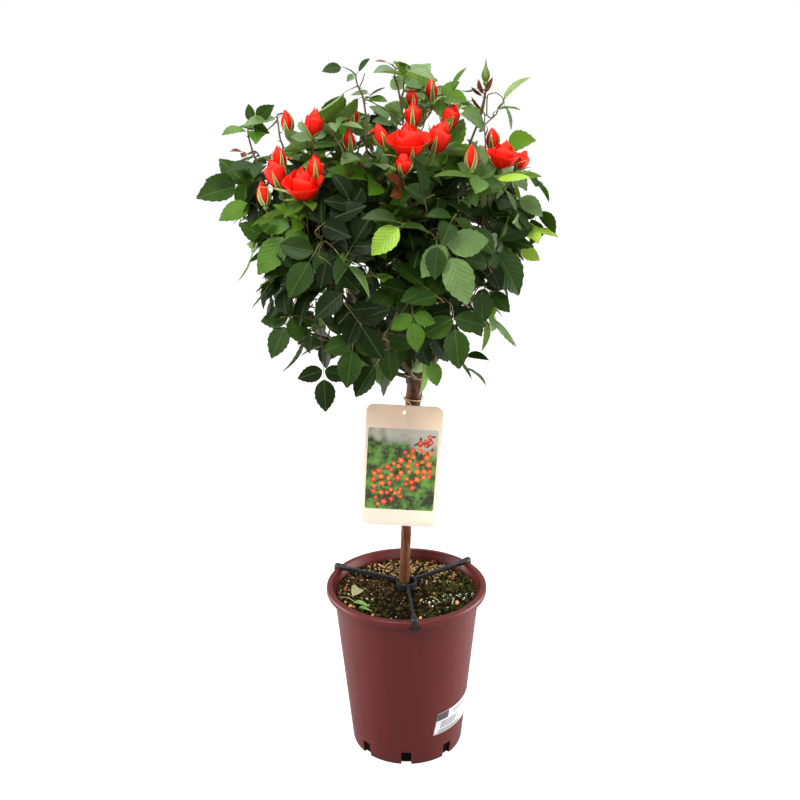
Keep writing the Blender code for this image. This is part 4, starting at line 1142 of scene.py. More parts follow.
def grid_faces(columns, rows):
    """Four-cornered faces of a grid of points that are listed row by row."""
    faces = []
    for row in range(rows):
        for column in range(columns):
            corner = row * (columns + 1) + column
            faces.append((corner, corner + 1, corner + columns + 2, corner + columns + 1))
    return faces


def cone_patch(sheaf, turn, width, low, high, lift, columns, rows):
    """A patch that lies on the pot's wall, by the angle from the front and the heights."""
    points = []
    for row in range(rows + 1):
        for column in range(columns + 1):
            across = column / columns
            height = low + (high - low) * row / rows + LABEL_TILT * across * width
            lean = LABEL_LEAN * (height - LABEL_LOW)
            angle = turn + (across * width + lean) / pot_radius((low + high) / 2)
            reach = pot_radius(height) + lift
            points.append((reach * math.sin(angle), -reach * math.cos(angle), height))
    sheaf.add(np.array(points), grid_faces(columns, rows))


def make_label():
    """Plain paper label low on the pot, with a grey corner and rows of grey bars."""
    paper = Sheaf("pot_label")
    cone_patch(paper, LABEL_TURN, LABEL_WIDTH, LABEL_LOW, LABEL_HIGH, LABEL_LIFT, 40, 8)
    label = paper.piece(coated_material("label_paper"), "card")
    modified(label, "SOLIDIFY", thickness=LABEL_THICKNESS, offset=1.0)
    ink = Sheaf("pot_label_ink")
    cone_patch(ink, LABEL_TURN + 0.002, 0.0170, LABEL_HIGH - 0.0105, LABEL_HIGH - 0.0002, INK_LIFT, 12, 3)
    step = LABEL_WIDTH / pot_radius(LABEL_LOW)
    for start, drop, share in LABEL_BARS:
        top = LABEL_HIGH - drop
        turn = LABEL_TURN + step * start
        cone_patch(ink, turn, LABEL_WIDTH * share, top - BAR_HEIGHT, top, INK_LIFT, 20, 1)
    ink.piece(coated_material("label_ink"), "card")


# Soil and what lies on it


def soil_height(x, y):
    """Surface of the soil, which rises a little to the stem."""
    edge = SOIL_HIGH.z - 0.0014
    return edge + SOIL_RISE * max(0.0, min(1.0, (0.070 - math.hypot(x, y)) / 0.045))


def soil_radius(height):
    return pot_radius(height) - POT_WALL - SOIL_GAP


def make_soil():
    """Root ball with a rough top."""
    profile = [(0.0300, 0.0006), (0.0620, 0.0006), (soil_radius(SOIL_LOW.z), SOIL_LOW.z + 0.0002)]
    profile += [(soil_radius(z), z) for z in (0.02, 0.06, 0.12, 0.17)]
    for k in range(SOIL_RINGS):
        reach = soil_radius(SOIL_HIGH.z) * (1 - k / SOIL_RINGS)
        profile.append((reach + 0.0002, soil_height(reach, 0)))
    profile.append((0.0008, soil_height(0, 0)))
    soil = turned("potting_soil", profile, SOIL_SIDES)
    group = soil.vertex_groups.new(name="top")
    top = [v.index for v in soil.data.vertices if v.co.z > SOIL_HIGH.z - 0.006]
    group.add(top, 1.0, "REPLACE")
    relief(soil, 0.0130, 0.0040, group="top")
    relief(soil, 0.0036, 0.0028, group="top")
    finished(soil, soil_material(), ["soil"], 60)


def pebble(dice, size, flat):
    """A rough grain: a box-like form of eight corners, each pushed at random."""
    points = []
    for x in (-1, 1):
        for y in (-1, 1):
            for z in (-1, 1):
                push = [dice.uniform(0.55, 1.0) for _ in range(3)]
                points.append((x * push[0], y * push[1], z * push[2] * flat))
    angle = dice.uniform(0, ANY_TURN)
    axis = Vector([dice.uniform(-1, 1) for _ in range(3)]).normalized()
    turn = Matrix.Rotation(angle, 3, axis)
    points = np.array([turn @ (Vector(p) * size / 2) for p in points])
    faces = [(0, 1, 3, 2), (4, 6, 7, 5), (0, 4, 5, 1), (2, 3, 7, 6), (0, 2, 6, 4), (1, 5, 7, 3)]
    return points, faces


def nearness(x, y, spots):
    """How near a place is to some spots, each with its reach and weight."""
    share = 0.0
    for at_x, at_y, reach, weight in spots:
        share += weight * math.exp(-((x - at_x) ** 2 + (y - at_y) ** 2) / reach**2)
    return share


def scatter_on_soil(name, finish, count, sizes, seed, flat, stretch, spots, elsewhere):
    """Grains on the soil, thickest near their spots."""
    dice = random.Random(seed)
    sheaf = Sheaf(name)
    reach = pot_radius(SOIL_HIGH.z) - POT_WALL - 0.003
    while count > 0:
        x, y = (dice.uniform(-reach, reach) for _ in range(2))
        if not 0.010 <= math.hypot(x, y) <= reach:
            continue
        if dice.random() > min(1.0, nearness(x, y, spots) + elsewhere):
            continue
        count -= 1
        size = dice.uniform(*sizes)
        points, faces = pebble(dice, size, flat)
        points[:, 0] *= stretch
        angle = dice.uniform(0, ANY_TURN)
        across, along = math.cos(angle), math.sin(angle)
        points = points @ np.array(((across, along, 0), (-along, across, 0), (0, 0, 1)))
        points += np.array((x, y, soil_height(x, y) + size * dice.uniform(0.10, 0.30)))
        sheaf.add(points, faces)
    sheaf.piece(natural_material(finish), "soil", smooth=False)


def make_soil_grains():
    """Bark chips behind, crumbs on the left, moss on the right, peat and perlite between them."""
    for grains in GRAINS:
        scatter_on_soil(*grains)


def make_loose_bits():
    """Single things that lie on the soil: granules, a withered leaf, a blade of grass and stalks."""
    dice = random.Random(12)
    bits = {name: Sheaf(name) for name, _ in LOOSE_BITS}
    for x, y, size in GRANULES:
        points, faces = pebble(dice, size, 0.9)
        bits["granules"].add(points + np.array((x, y, soil_height(x, y) + size * 0.35)), faces)
    for line, radius in STUBS:
        radii = (radius, radius * 0.9, radius * 0.6)
        bits["red_stubs"].add(*tube([Vector(p) for p in line], radii, 7))
    for line in STRAWS:
        smooth = spline_points([Vector(p) for p in line], 4)
        bits["straws"].add(*tube(smooth, [STRAW_RADIUS] * len(smooth), 5))
    for name, form_number, narrow, place, ahead, upper, size in LYING_LEAVES:
        form, faces, _ = LEAFLET_FORMS[form_number]
        form = form * np.array((narrow, 1.0, 1.0))
        bits[name].add(framed(form, place, Vector(ahead).normalized(), Vector(upper), size), faces)
    for name, finish in LOOSE_BITS:
        bits[name].piece(natural_material(finish), "soil")


# Small forms that are gathered into one mesh


class Sheaf:
    """Small forms of one kind, gathered into one mesh."""

    def __init__(self, name):
        self.name = name
        self.points = []
        self.faces = []
        self.maps = []
        self.count = 0

    def add(self, points, faces, uvs=None):
        self.faces += [tuple(self.count + corner for corner in face) for face in faces]
        self.points.append(points)
        if uvs is not None:
            self.maps.append(uvs)
        self.count += len(points)

    def piece(self, material, slot, nodes=(), smooth=True):
        """Makes the mesh and gives it its finish."""
        mesh = bpy.data.meshes.new(self.name)
        mesh.from_pydata(np.concatenate(self.points).tolist(), [], self.faces)
        if self.maps:
            corners = np.empty(len(mesh.loops), np.int32)
            mesh.loops.foreach_get("vertex_index", corners)
            layer = mesh.uv_layers.new(name="blade")
            layer.data.foreach_set("uv", np.concatenate(self.maps)[corners].ravel())
        if smooth:
            mesh.shade_smooth()
        mesh.materials.append(material)
        made = bpy.data.objects.new(self.name, mesh)
        bpy.context.scene.collection.objects.link(made)
        adopt(made, nodes)
        return made


def side_axes(direction):
    """Two unit vectors at right angles to a direction and to each other."""
    helper = Vector((0, 0, 1)) if abs(direction.z) < 0.9 else Vector((1, 0, 0))
    first = direction.cross(helper).normalized()
    return first, direction.cross(first).normalized()


def tube(points, radii, sides):
    """Points and faces of a round bar along a line, closed at its ends."""
    count = len(points)
    first, _ = side_axes((points[1] - points[0]).normalized())
    verts, faces = [], []
    for k in range(count):
        tangent = (points[min(k + 1, count - 1)] - points[max(k - 1, 0)]).normalized()
        first = (first - tangent * first.dot(tangent)).normalized()
        second = tangent.cross(first)
        for i in range(sides):
            angle = 2 * math.pi * i / sides
            verts.append(points[k] + (first * math.cos(angle) + second * math.sin(angle)) * radii[k])
    for k in range(count - 1):
        for i in range(sides):
            j = (i + 1) % sides
            faces.append((k * sides + i, k * sides + j, (k + 1) * sides + j, (k + 1) * sides + i))
    faces.append(tuple(reversed(range(sides))))
    faces.append(tuple(range((count - 1) * sides, count * sides)))
    return np.array(verts), faces


# Leaflets and petals


def leaflet_form(fold, arch, sway):
    """A blade of length 1 with toothed margins, folded along its midrib and arched to its tip."""
    ribs = (0.0, 0.18, 0.38, 0.60, 0.80, 1.0)
    edges = (0.04, 0.12, 0.20, 0.28, 0.36, 0.44, 0.52, 0.60, 0.68, 0.76, 0.83, 0.90, 0.96)

    def height(x, y):
        return fold * abs(x) + arch * y * (1 - y) + sway * x * y

    points = [(0.0, y, height(0.0, y)) for y in ribs]
    for side in (1, -1):
        for k, y in enumerate(edges):
            half = LEAFLET_WIDTH / 2 * y**0.66 * (1 - y) ** 0.98 / 0.319
            tooth = 1.025 if k % 2 == 0 else 0.955
            ahead = 0.012 if k % 2 == 0 else -0.008
            x = side * half * tooth
            points.append((x, y + ahead, height(x, y) + (0.006 if k % 2 else -0.005)))
    faces = []
    for side, first in ((1, len(ribs)), (-1, len(ribs) + len(edges))):
        i = j = 0
        while i < len(ribs) - 1 or j < len(edges) - 1:
            edge_next = edges[j + 1] if j < len(edges) - 1 else 9.0
            rib_next = ribs[i + 1] if i < len(ribs) - 1 else 9.0
            if edge_next < rib_next:
                face = (i, first + j, first + j + 1)
                j += 1
            else:
                face = (i, first + j, i + 1)
                i += 1
            faces.append(face if side == 1 else face[::-1])
    points = np.array(points)
    uvs = np.stack((0.5 + points[:, 0] / LEAFLET_WIDTH, points[:, 1]), axis=1)
    return points, faces, uvs


LEAFLET_FORMS = [
    leaflet_form(0.22, 0.10, 0.0), leaflet_form(0.38, 0.16, 0.1), leaflet_form(0.12, 0.24, -0.15),
    leaflet_form(0.30, 0.30, 0.2), leaflet_form(0.05, 0.04, -0.1), leaflet_form(0.55, 0.12, 0.0),
]


def framed(form, place, ahead, upper, size):
    """A form set at a place, with its length ahead and its face to the upper side."""
    across = ahead.cross(upper).normalized()
    upper = across.cross(ahead).normalized()
    axes = np.array((across, ahead, upper)) * size
    return form @ axes + np.array(place)


def cup_reach(v, close):
    """How wide a cup of petals is at a share of its height: open, or closed over at its top."""
    cup = 0.22 + 0.78 * math.sin(v * math.pi / 2) ** 0.7
    bulb = math.sin(math.pi * (0.15 + 0.82 * v)) ** 0.85
    return (1 - close) * cup + close * bulb


def held(points):
    """Points kept inside the frame's box."""
    return np.clip(points, np.array(cad_box[0]) + HOLD_MARGIN, np.array(cad_box[1]) - HOLD_MARGIN)


def petal(radius, height, half_width, turn, close, roll, dice):
    """A patch of a cup about +Z: closed over at its top, or rolled back at its edge."""
    columns, rows = 6, 6
    wave = dice.uniform(0, ANY_TURN)
    drop = 0.08 + 0.12 * close
    points = []
    for row in range(rows + 1):
        for column in range(columns + 1):
            u = 2 * column / columns - 1
            v = row / rows * (1 - drop * u * u)
            reach = radius * cup_reach(v, close)
            reach += roll * radius * max(0.0, v - 0.55) ** 1.5 * 2.2
            reach += radius * (0.05 * u + 0.05 * v * math.sin(4 * u + wave))
            rise = height * (v - roll * 0.75 * max(0.0, v - 0.5) ** 1.3)
            angle = turn + u * half_width * math.sin(math.pi * (0.16 + 0.62 * v)) ** 0.7
            points.append((reach * math.cos(angle), reach * math.sin(angle), rise))
    uvs = [(column / columns, row / rows) for row in range(rows + 1) for column in range(columns + 1)]
    return np.array(points), grid_faces(columns, rows), np.array(uvs)


def sepal(radius, height, close, length, turn, flare):
    """A narrow pointed leaf that clasps the cup: points, and faces of its middle and of its edges."""
    rows = 6
    points = []
    for row in range(rows + 1):
        v = row / rows
        half = 0.0029 * (1 - v) ** 0.85 * min(1.0, 0.70 + 2.0 * v) + 0.00012
        reach = radius * cup_reach(min(1.0, length * v / height), close) * 1.06 + 0.0005
        reach += flare * v * v * length
        rise = length * v * (1 - 0.35 * flare * v)
        for share in (-1.0, -0.66, 0.66, 1.0):
            angle = turn + half * share / max(reach, 0.001)
            points.append((reach * math.cos(angle), reach * math.sin(angle), rise))
    middle, edges = [], []
    for k, face in enumerate(grid_faces(3, rows)):
        (middle if k % 3 == 1 else edges).append(face)
    return np.array(points), middle, edges


def spindle(base, heading, height, profile):
    """A round form on a flower's axis, by radii and shares of the flower's height."""
    line = [base + heading * height * rise for _, rise in profile]
    return tube(line, [radius for radius, _ in profile], 8)


def blade_points(frames, share):
    """Places at a share of the way along each leaflet of a leaf."""
    return [place + ahead * size * LEAFLET_LENGTH * share for place, ahead, _, size in frames]


class Crown:
    """All the small forms of the crown, by kind, and where its leaflets are."""

    def __init__(self):
        self.leaves = {shade: Sheaf("leaves_" + shade) for shade in SHADES}
        self.twigs = Sheaf("twigs")
        self.stalks = Sheaf("leaf_stalks")
        self.petals = Sheaf("petals")
        self.deep_petals = Sheaf("petals_deep")
        self.sepals = Sheaf("sepals")
        self.sepal_edges = Sheaf("sepal_edges")
        self.middles = np.empty((0, 3))
        self.leaflets = np.empty((0, 3))
        self.open_places = []

    def note(self, leaflets, middle):
        """Keeps where the leaflets of a leaf or the parts of a flower are, and its middle."""
        self.leaflets = np.concatenate((self.leaflets, np.array(leaflets)))
        self.middles = np.concatenate((self.middles, np.array([middle])))

    def covers_flower(self, points):
        """Whether a leaf would lie over a flower, whose outer side stays free."""
        return any((place - point).length < FLOWER_ROOM for place in self.open_places for point in points)

    def room_for(self, point):
        """Distance from a point to the nearest leaf's middle."""
        if not len(self.middles):
            return 1.0
        return float(np.min(np.linalg.norm(self.middles - np.array(point), axis=1)))

    def clearance(self, points):
        """Least distance from some points to the leaflets that are there."""
        if not len(self.leaflets):
            return 1.0
        gaps = np.linalg.norm(self.leaflets[None, :, :] - np.array(points)[:, None, :], axis=2)
        return float(gaps.min())


def crown_share(point, width=1.0):
    """How far out a point lies, as a share of the way to the edge of the crown's egg."""
    away = point - CROWN_CENTRE
    half = CROWN_HALF
    return Vector((away.x / half.x / width, away.y / half.y / width, away.z / half.z)).length


def egg_width(height):
    """Width that the crown's own leaves fill, as a share of the egg's, less low down than high up."""
    return EDGE_LOW + (EDGE_HIGH - EDGE_LOW) * max(0.0, min(1.0, (height - 0.53) / 0.11))


def metres(place):
    """A point that a table gives in millimetres."""
    return Vector([part / 1000 for part in place])


def direction(lead):
    """A direction that a table gives in hundredths."""
    return Vector([part / 100 for part in lead]).normalized()


def mass_centre(mass):
    _, azimuth, distance, height, _, _ = mass
    angle = math.radians(azimuth)
    x = CROWN_CENTRE.x + distance * math.cos(angle)
    y = CROWN_CENTRE.y + distance * math.sin(angle)
    return Vector((x, y, height))


def bezier(start, first, second, end, steps):
    """Points of a smooth curve from start to end, drawn by two handles."""
    points = []
    for k in range(steps + 1):
        t = k / steps
        u = 1 - t
        points.append(start * u**3 + first * 3 * u * u * t + second * 3 * u * t * t + end * t**3)
    return points


def bough_line(mass, steps):
    """The bough leaves the head at its own elevation and turns to its mass."""
    _, azimuth, _, _, elevation, share = mass
    turn, rise = math.radians(azimuth), math.radians(elevation)
    flat = math.cos(rise)
    leave = Vector((math.cos(turn) * flat, math.sin(turn) * flat, math.sin(rise)))
    root = HEAD_CENTRE + leave * HEAD_RADIUS * 0.6
    tip = HEAD_CENTRE.lerp(mass_centre(mass), share)
    arrive = (mass_centre(mass) - tip).normalized()
    length = (tip - root).length
    return bezier(root, root + leave * length * 0.4, tip - arrive * length * 0.35, tip, steps)


class Mass:
    """One mass of foliage, which grows in its own cell of the crown."""

    def __init__(self, mass, others, crown, seed):
        self.centre = mass_centre(mass)
        self.outward = (self.centre - CROWN_CENTRE).normalized()
        self.tip = bough_line(mass, 8)[-1]
        self.crown = crown
        self.dice = random.Random(seed)
        self.walls = []
        for other in others:
            towards = (mass_centre(other) - self.centre).normalized()
            self.walls.append(((mass_centre(other) + self.centre) / 2, towards))
        self.wood = []
        self.shoots = []

    def vector(self):
        return Vector([self.dice.uniform(-1, 1) for _ in range(3)])

    def in_cell(self, point, margin):
        return all((point - middle).dot(towards) < -margin for middle, towards in self.walls)

    def in_box(self, point):
        low, high = cad_box
        return all(low[k] + BOX_MARGIN < point[k] < high[k] - BOX_MARGIN for k in range(3))

    def in_reach(self, point, limit, room, width):
        """Inside the crown's egg, or close to the end of a shoot, and inside the frame's box."""
        if not self.in_box(point):
            return False
        if crown_share(point, width) <= limit:
            return True
        return any((point - shoot).length < room for shoot in self.shoots)

    def add_wood(self, line, radii, sheaf, sides=5):
        """A round limb, whose places are kept for the twigs that spring from it."""
        sheaf.add(*tube(line, radii, sides))
        for start, end in zip(line, line[1:]):
            steps = max(1, round((end - start).length / WOOD_STEP))
            self.wood += [start.lerp(end, k / steps) for k in range(1, steps + 1)]

    def nearest_wood(self, point):
        """The place on the mass's own wood from which a twig would best reach a point."""
        heart = CROWN_CENTRE.lerp(HEAD_CENTRE, 0.5)

        def cost(place):
            reach = point - place
            outward = (place - heart).normalized()
            return reach.length * (1.25 - 0.4 * outward.dot(reach.normalized()))

        return min(self.wood, key=cost)

    def grow_twig(self, start, end, radius, heading=None, arch=0.12):
        """A twig that leaves its parent and bends up to its end."""
        length = (end - start).length
        bend = Vector((0, 0, 1)) * length * arch + self.vector() * length * 0.08
        steps = max(2, round(length / TWIG_STEP))
        last = end - heading * length * 0.36 if heading else start.lerp(end, 0.66) + bend
        line = bezier(start, start.lerp(end, 0.33) + bend, last, end, steps)
        radii = [radius * (1 - 0.35 * k / steps) for k in range(steps + 1)]
        self.add_wood(line, radii, self.crown.twigs)

    def leaf_frames(self, root, heading, upper, size, pairs, sag):
        """Places, directions, upper sides and sizes of the leaflets on a bending stalk."""
        dice = self.dice
        length = (PETIOLE_LENGTH + INTERNODE * pairs) * size
        side = heading.cross(upper).normalized()

        def at(reach):
            return root + heading * reach - Vector((0, 0, sag * reach * reach / length))

        def along(reach):
            return (heading - Vector((0, 0, 2 * sag * reach / length))).normalized()

        frames = []
        for pair in range(pairs):
            reach = (PETIOLE_LENGTH + INTERNODE * pair) * size
            scale = (0.70 + 0.16 * (pair + 2 - pairs)) * size
            for hand in (-1, 1):
                angle = math.radians(dice.uniform(*SIDE_ANGLES))
                ahead = along(reach) * math.cos(angle) + side * hand * math.sin(angle)
                ahead = (ahead - upper * dice.uniform(0.0, 0.25)).normalized()
                face = upper + side * hand * dice.uniform(-0.05, 0.25) + self.vector() * 0.10
                frames.append((at(reach) + ahead * 0.0012, ahead, face, scale * dice.uniform(0.9, 1.08)))
        frames.append((at(length), along(length), upper + self.vector() * 0.12, size))
        stalk = [at(length * k / 3) for k in range(4)]
        return frames, stalk

    def place_leaf(self, frames, stalk, shade):
        for place, ahead, face, size in frames:
            form, faces, uvs = self.dice.choice(LEAFLET_FORMS)
            leaflet = held(framed(form, place, ahead, face, size * LEAFLET_LENGTH))
            self.crown.leaves[shade].add(leaflet, faces, uvs)
        radii = [PETIOLE_RADIUS * (1 - 0.2 * k) for k in range(len(stalk))]
        self.crown.stalks.add(*tube(stalk, radii, 3))
        middles = blade_points(frames, 0.5)
        self.crown.note(middles, middles[-1])

    def grow_leaf(self, target, lead=None, shade=None, size=None, limit=None, room=0.0, tries=10):
        """The leaf round a target that keeps best clear of its neighbours, on a twig of its own."""
        best = None
        width = 1.0 if limit else egg_width(target.z)
        limit = limit or 0.98
        for _ in range(tries):
            away = (target - CROWN_HEART).normalized()
            rise = Vector((0, 0, 0.75 * away.z - 0.42))
            heading = lead or (away * 0.55 + rise + self.vector() * 0.75)
            heading = (heading + self.vector() * (0.12 if lead else 0.0)).normalized()
            light = away * 0.75 + Vector((0, 0, 0.70)) + self.vector() * 0.45
            if light.cross(heading).length < 0.3:
                continue
            upper = (light - heading * light.dot(heading)).normalized()
            scale = size or self.dice.uniform(*LEAF_SIZES)
            pairs = 1 if self.dice.random() < THREE_LEAFLETS or scale < 0.7 else 2
            root = target - heading * LEAF_REACH * scale * (0.9 if pairs == 2 else 0.7)
            sag = self.dice.uniform(*SAGS)
            frames, stalk = self.leaf_frames(root, heading, upper, scale, pairs, sag)
            tips = blade_points(frames, 1.0)
            if not all(self.in_reach(tip, limit, room, width) for tip in (*tips, root)):
                continue
            middles = blade_points(frames, 0.5)
            if self.crown.covers_flower(middles):
                continue
            gap = self.crown.clearance(middles)
            if best is None or gap > best[0]:
                best = (gap, root, frames, stalk, heading)
        if best is None or best[0] < LEAF_SPACING:
            return False
        _, root, frames, stalk, heading = best
        start = self.nearest_wood(root)
        if (root - start).length > TOUCH:
            self.grow_twig(start, root, TWIG_RADIUS * 0.75, heading)
        self.place_leaf(frames, stalk, shade or self.shade_of(target))
        return True

    def grow_spray(self, base, lead, length, face, pairs, shade):
        """A leaf whose end leaflet springs from a known place, on a twig from the nearest wood."""
        lights = {"face": Vector((0, -1, 0.55)), "top": Vector((0, -0.35, 1))}
        lights["edge"] = lead.cross(Vector((0, 1, 0)))
        lights["half"] = lights["face"] * 0.4 + lights["edge"]
        light = lights[face] + self.vector() * 0.15
        upper = (light - lead * light.dot(lead)).normalized()
        size = length / LEAFLET_LENGTH
        reach = (PETIOLE_LENGTH + INTERNODE * pairs) * size
        root = base - lead * reach + Vector((0, 0, 0.06 * reach))
        frames, stalk = self.leaf_frames(root, lead, upper, size, pairs, 0.06)
        frames = [frame for frame, tip in zip(frames, blade_points(frames, 1.0)) if self.in_box(tip)]
        start = self.nearest_wood(root)
        if pairs == 0:
            towards = (base - start).normalized()
            root = base - (lead * 0.45 + towards * 0.55).normalized() * reach
            stalk = bezier(root, root + towards * reach * 0.35, base - lead * reach * 0.35, base, 3)
        if (root - start).length > TOUCH:
            self.grow_twig(start, root, TWIG_RADIUS * 0.8, lead if pairs else towards)
        self.place_leaf(frames, stalk, shade)

    def shade_of(self, point):
        """Shade of a leaf: dark in the depth and low in the crown, partly painted shade, and pale or
        young near its top, partly painted light.
        """
        chance = self.dice.random()
        if crown_share(point) < SHADED_DEPTH_SHARE:
            return "dark" if chance < 0.94 else "mid"
        shares = SHADES_MIDDLE
        if point.z < LOW_SHADES_END:
            shares = SHADES_LOW
        elif point.z > HIGH_SHADES_START:
            shares = SHADES_HIGH
        for shade, share in zip(SHADES, shares):
            chance -= share
            if chance < 0:
                return shade
        return "mid"

    def target(self, low, high, margin, tries):
        """Of many points in a shell of the mass's cell, the one with the most room."""
        best, best_room = None, 0.0
        for _ in range(tries):
            point = self.centre + self.vector() * CELL_REACH
            if point.z > DENSE_TOP and self.dice.random() > OPEN_SHARE:
                continue
            if low < crown_share(point) < high and self.in_cell(point, margin):
                room = self.crown.room_for(point) + 0.4 * min((point - w).length for w in self.wood[::4])
                if room > best_room:
                    best, best_room = point, room
        return best

    def grow_leader(self, radius, places):
        """A stem from the nearest wood through known places, with a few thorns."""
        line = spline_points([self.nearest_wood(places[0]), *places], 4)
        radii = [radius * (1 - 0.45 * k / (len(line) - 1)) for k in range(len(line))]
        self.add_wood(line, radii, self.crown.twigs, 6)
        if radius < 0.0012:
            return
        for place in line[3:-2:2]:
            out = self.vector()
            out = Vector((out.x, out.y, 0.15)).normalized()
            thorn = [place, place + out * 0.0018, place + out * 0.0042]
            self.crown.twigs.add(*tube(thorn, THORN_RADII, 4))

    def grow_limbs(self, leaders, sprays, flowers, shoots):
        """The bough's own leader, upright stems, leaves that stand out, shoots and flowers."""
        root = self.tip - (self.centre - self.tip).normalized() * 0.002
        end = self.centre + self.outward * LEADER_REACH
        line = bezier(root, root.lerp(self.centre, 0.4), root.lerp(self.centre, 0.8), end, 6)
        radii = [BOUGH_TIP_RADIUS + (TWIG_RADIUS * 1.1 - BOUGH_TIP_RADIUS) * k / 6 for k in range(7)]
        self.add_wood(line, radii, self.crown.twigs, 6)
        for radius, places in leaders:
            self.grow_leader(radius / 1000, [metres(place) for place in places])
        ordered = sorted(sprays, key=lambda spray: (metres(spray[0]) - self.centre).length)
        for base, lead, length, face, pairs, shade in ordered:
            self.grow_spray(metres(base), direction(lead), length / 1000, face, pairs, shade)
        self.shoots = [metres(spray[0]) for spray in sprays if spray[0][2] > HIGH_SPRAY]
        self.shoots += [metres(place) for place, _, _ in shoots]
        for place, lead, shade in shoots:
            self.grow_shoot(metres(place), direction(lead), shade)
        for kind, place, height, lean in flowers:
            self.grow_flower(kind, metres(place), height / 1000, direction(lean))

    def grow_leaves(self):
        """Twigs to where the mass has most room, each with an end leaf, and leaves along all wood."""
        for _ in range(TWIGS_PER_MASS):
            end = self.target(0.55, 0.86, 0.008, 60)
            if end:
                self.grow_twig(self.nearest_wood(end), end, TWIG_RADIUS)
                self.grow_leaf(end + (end - CROWN_HEART).normalized() * 0.03)
        count = round(LEAVES_PER_MASS * (0.4 if self.centre.z > DENSE_TOP else 1.0))
        for _ in range(count):
            target = self.target(0.42, 0.94, -0.002, 36)
            if target:
                self.grow_leaf(target, room=SPRAY_ROOM * 0.4 if target.z > 0.62 else 0.0)

    def grow_shoot(self, place, lead, shade):
        """A long twig that ends in a leaf, with side leaves along it."""
        start = self.nearest_wood(place)
        self.grow_twig(start, place, TWIG_RADIUS)
        size = self.dice.uniform(0.9, 1.05)
        end = place + lead * LEAF_REACH * 0.95
        self.grow_leaf(end, lead, shade, size, room=SPRAY_ROOM * 1.1, tries=24)
        for share in (0.5, 0.72, 0.9):
            side = self.vector()
            side = (side - lead * side.dot(lead)).normalized()
            heading = (lead * 0.6 + side).normalized()
            size = self.dice.uniform(0.7, 0.9)
            target = start.lerp(place, share) + heading * LEAF_REACH * size
            self.grow_leaf(target, heading, shade, size, room=SPRAY_ROOM, tries=24)

    def grow_flower(self, kind, base, height, heading):
        """A flower on a stalk of its own, with sepals that clasp it or bend away."""
        start = self.nearest_wood(base - heading * 0.045)
        throat = base - heading * height * 0.20
        line = bezier(start, start.lerp(throat, 0.5), throat - heading * 0.014, throat, 6)
        radii = [TWIG_RADIUS * (0.85 - 0.03 * k) for k in range(7)]
        self.add_wood(line, radii, self.crown.twigs)
        if kind != "green":
            self.grow_stalk_leaves(start, throat, heading)
        first, second = side_axes(heading)
        axes = np.array((first, second, heading))
        azimuth = self.dice.uniform(0, ANY_TURN)
        self.grow_petals(kind, base, height, axes, azimuth)
        self.crown.sepals.add(*spindle(base, heading, height, CUP_PROFILE))
        if kind == "green":
            self.crown.sepals.add(*spindle(base, heading, height, GREEN_BUD_PROFILE))
        else:
            self.grow_sepals(kind, base, height, axes, azimuth)
        outward = Vector((base.x - CROWN_CENTRE.x, base.y - CROWN_CENTRE.y, 0)).normalized()
        for share, reach in ((0.3, 0.010), (0.9, 0.012), (0.6, 0.030)):
            self.crown.open_places.append(base + heading * height * share + outward * reach)
        spots = [base + heading * height * share for share in (0.2, 0.6, 1.0)]
        self.crown.note(spots, base + heading * height * 0.5)

    def grow_stalk_leaves(self, start, throat, heading):
        """Two small leaves on a flower's stalk."""
        for share in (0.35, 0.7):
            side = (self.vector() + heading * 0.6).normalized()
            size = self.dice.uniform(0.42, 0.7)
            end = start.lerp(throat, share) + side * LEAF_REACH * size
            shade = self.dice.choice(("mid", "fresh", "pale", "red" if size < 0.5 else "fresh"))
            self.grow_leaf(end, side, shade, size, limit=1.05, room=SPRAY_ROOM)

    def grow_petals(self, kind, base, height, axes, azimuth):
        dice = self.dice
        for whorl, (count, radius, rise, half_width, close, roll) in enumerate(WHORLS[kind]):
            sheaf = self.crown.petals if whorl > 0 or kind == "open" else self.crown.deep_petals
            for k in range(count):
                angle = azimuth + 2 * math.pi * (k + 0.5 * whorl) / count + dice.uniform(-0.15, 0.15)
                tall = height * rise * dice.uniform(0.95, 1.04)
                back = roll * dice.uniform(0.6, 1.3)
                half = math.radians(half_width)
                points, faces, uvs = petal(height * radius, tall, half, angle, close, back, dice)
                sheaf.add(held(points @ axes + np.array(base)), faces, uvs)

    def grow_sepals(self, kind, base, height, axes, azimuth):
        _, radius, rise, _, close, _ = WHORLS[kind][-1]
        flare, share = SEPALS[kind]
        for k in range(5):
            length = height * share * self.dice.uniform(0.8, 1.25)
            bend = flare * self.dice.choice((0.3, 0.6, 1.0, 2.2))
            angle = azimuth + 2 * math.pi * k / 5
            points, middle, edges = sepal(height * radius, height * rise, close, length, angle, bend)
            points = held(points @ axes + np.array(base))
            self.crown.sepals.add(points, middle)
            self.crown.sepal_edges.add(points, edges)


# Limbs


def stem_centre(height):
    """The clear stem's middle line, which bows slightly between foot and head."""
    share = (height - STEM_FOOT.z) / (HEAD_CENTRE.z - STEM_FOOT.z)
    return STEM_FOOT.lerp(HEAD_CENTRE, share) + Vector((STEM_BOW, 0, 0)) * math.sin(math.pi * share)


def stem_radius(height):
    share = (height - STEM_FOOT.z) / (HEAD_CENTRE.z - STEM_FOOT.z)
    taper = STEM_FOOT_RADIUS + (STEM_WAIST_RADIUS - STEM_FOOT_RADIUS) * share
    flare = STEM_FLARE * math.exp(-(height - STEM_FOOT.z) / STEM_FLARE_HEIGHT)
    graft = GRAFT_SWELL * math.exp(-(((HEAD_CENTRE.z - height) / GRAFT_LENGTH) ** 2))
    return taper + flare + graft


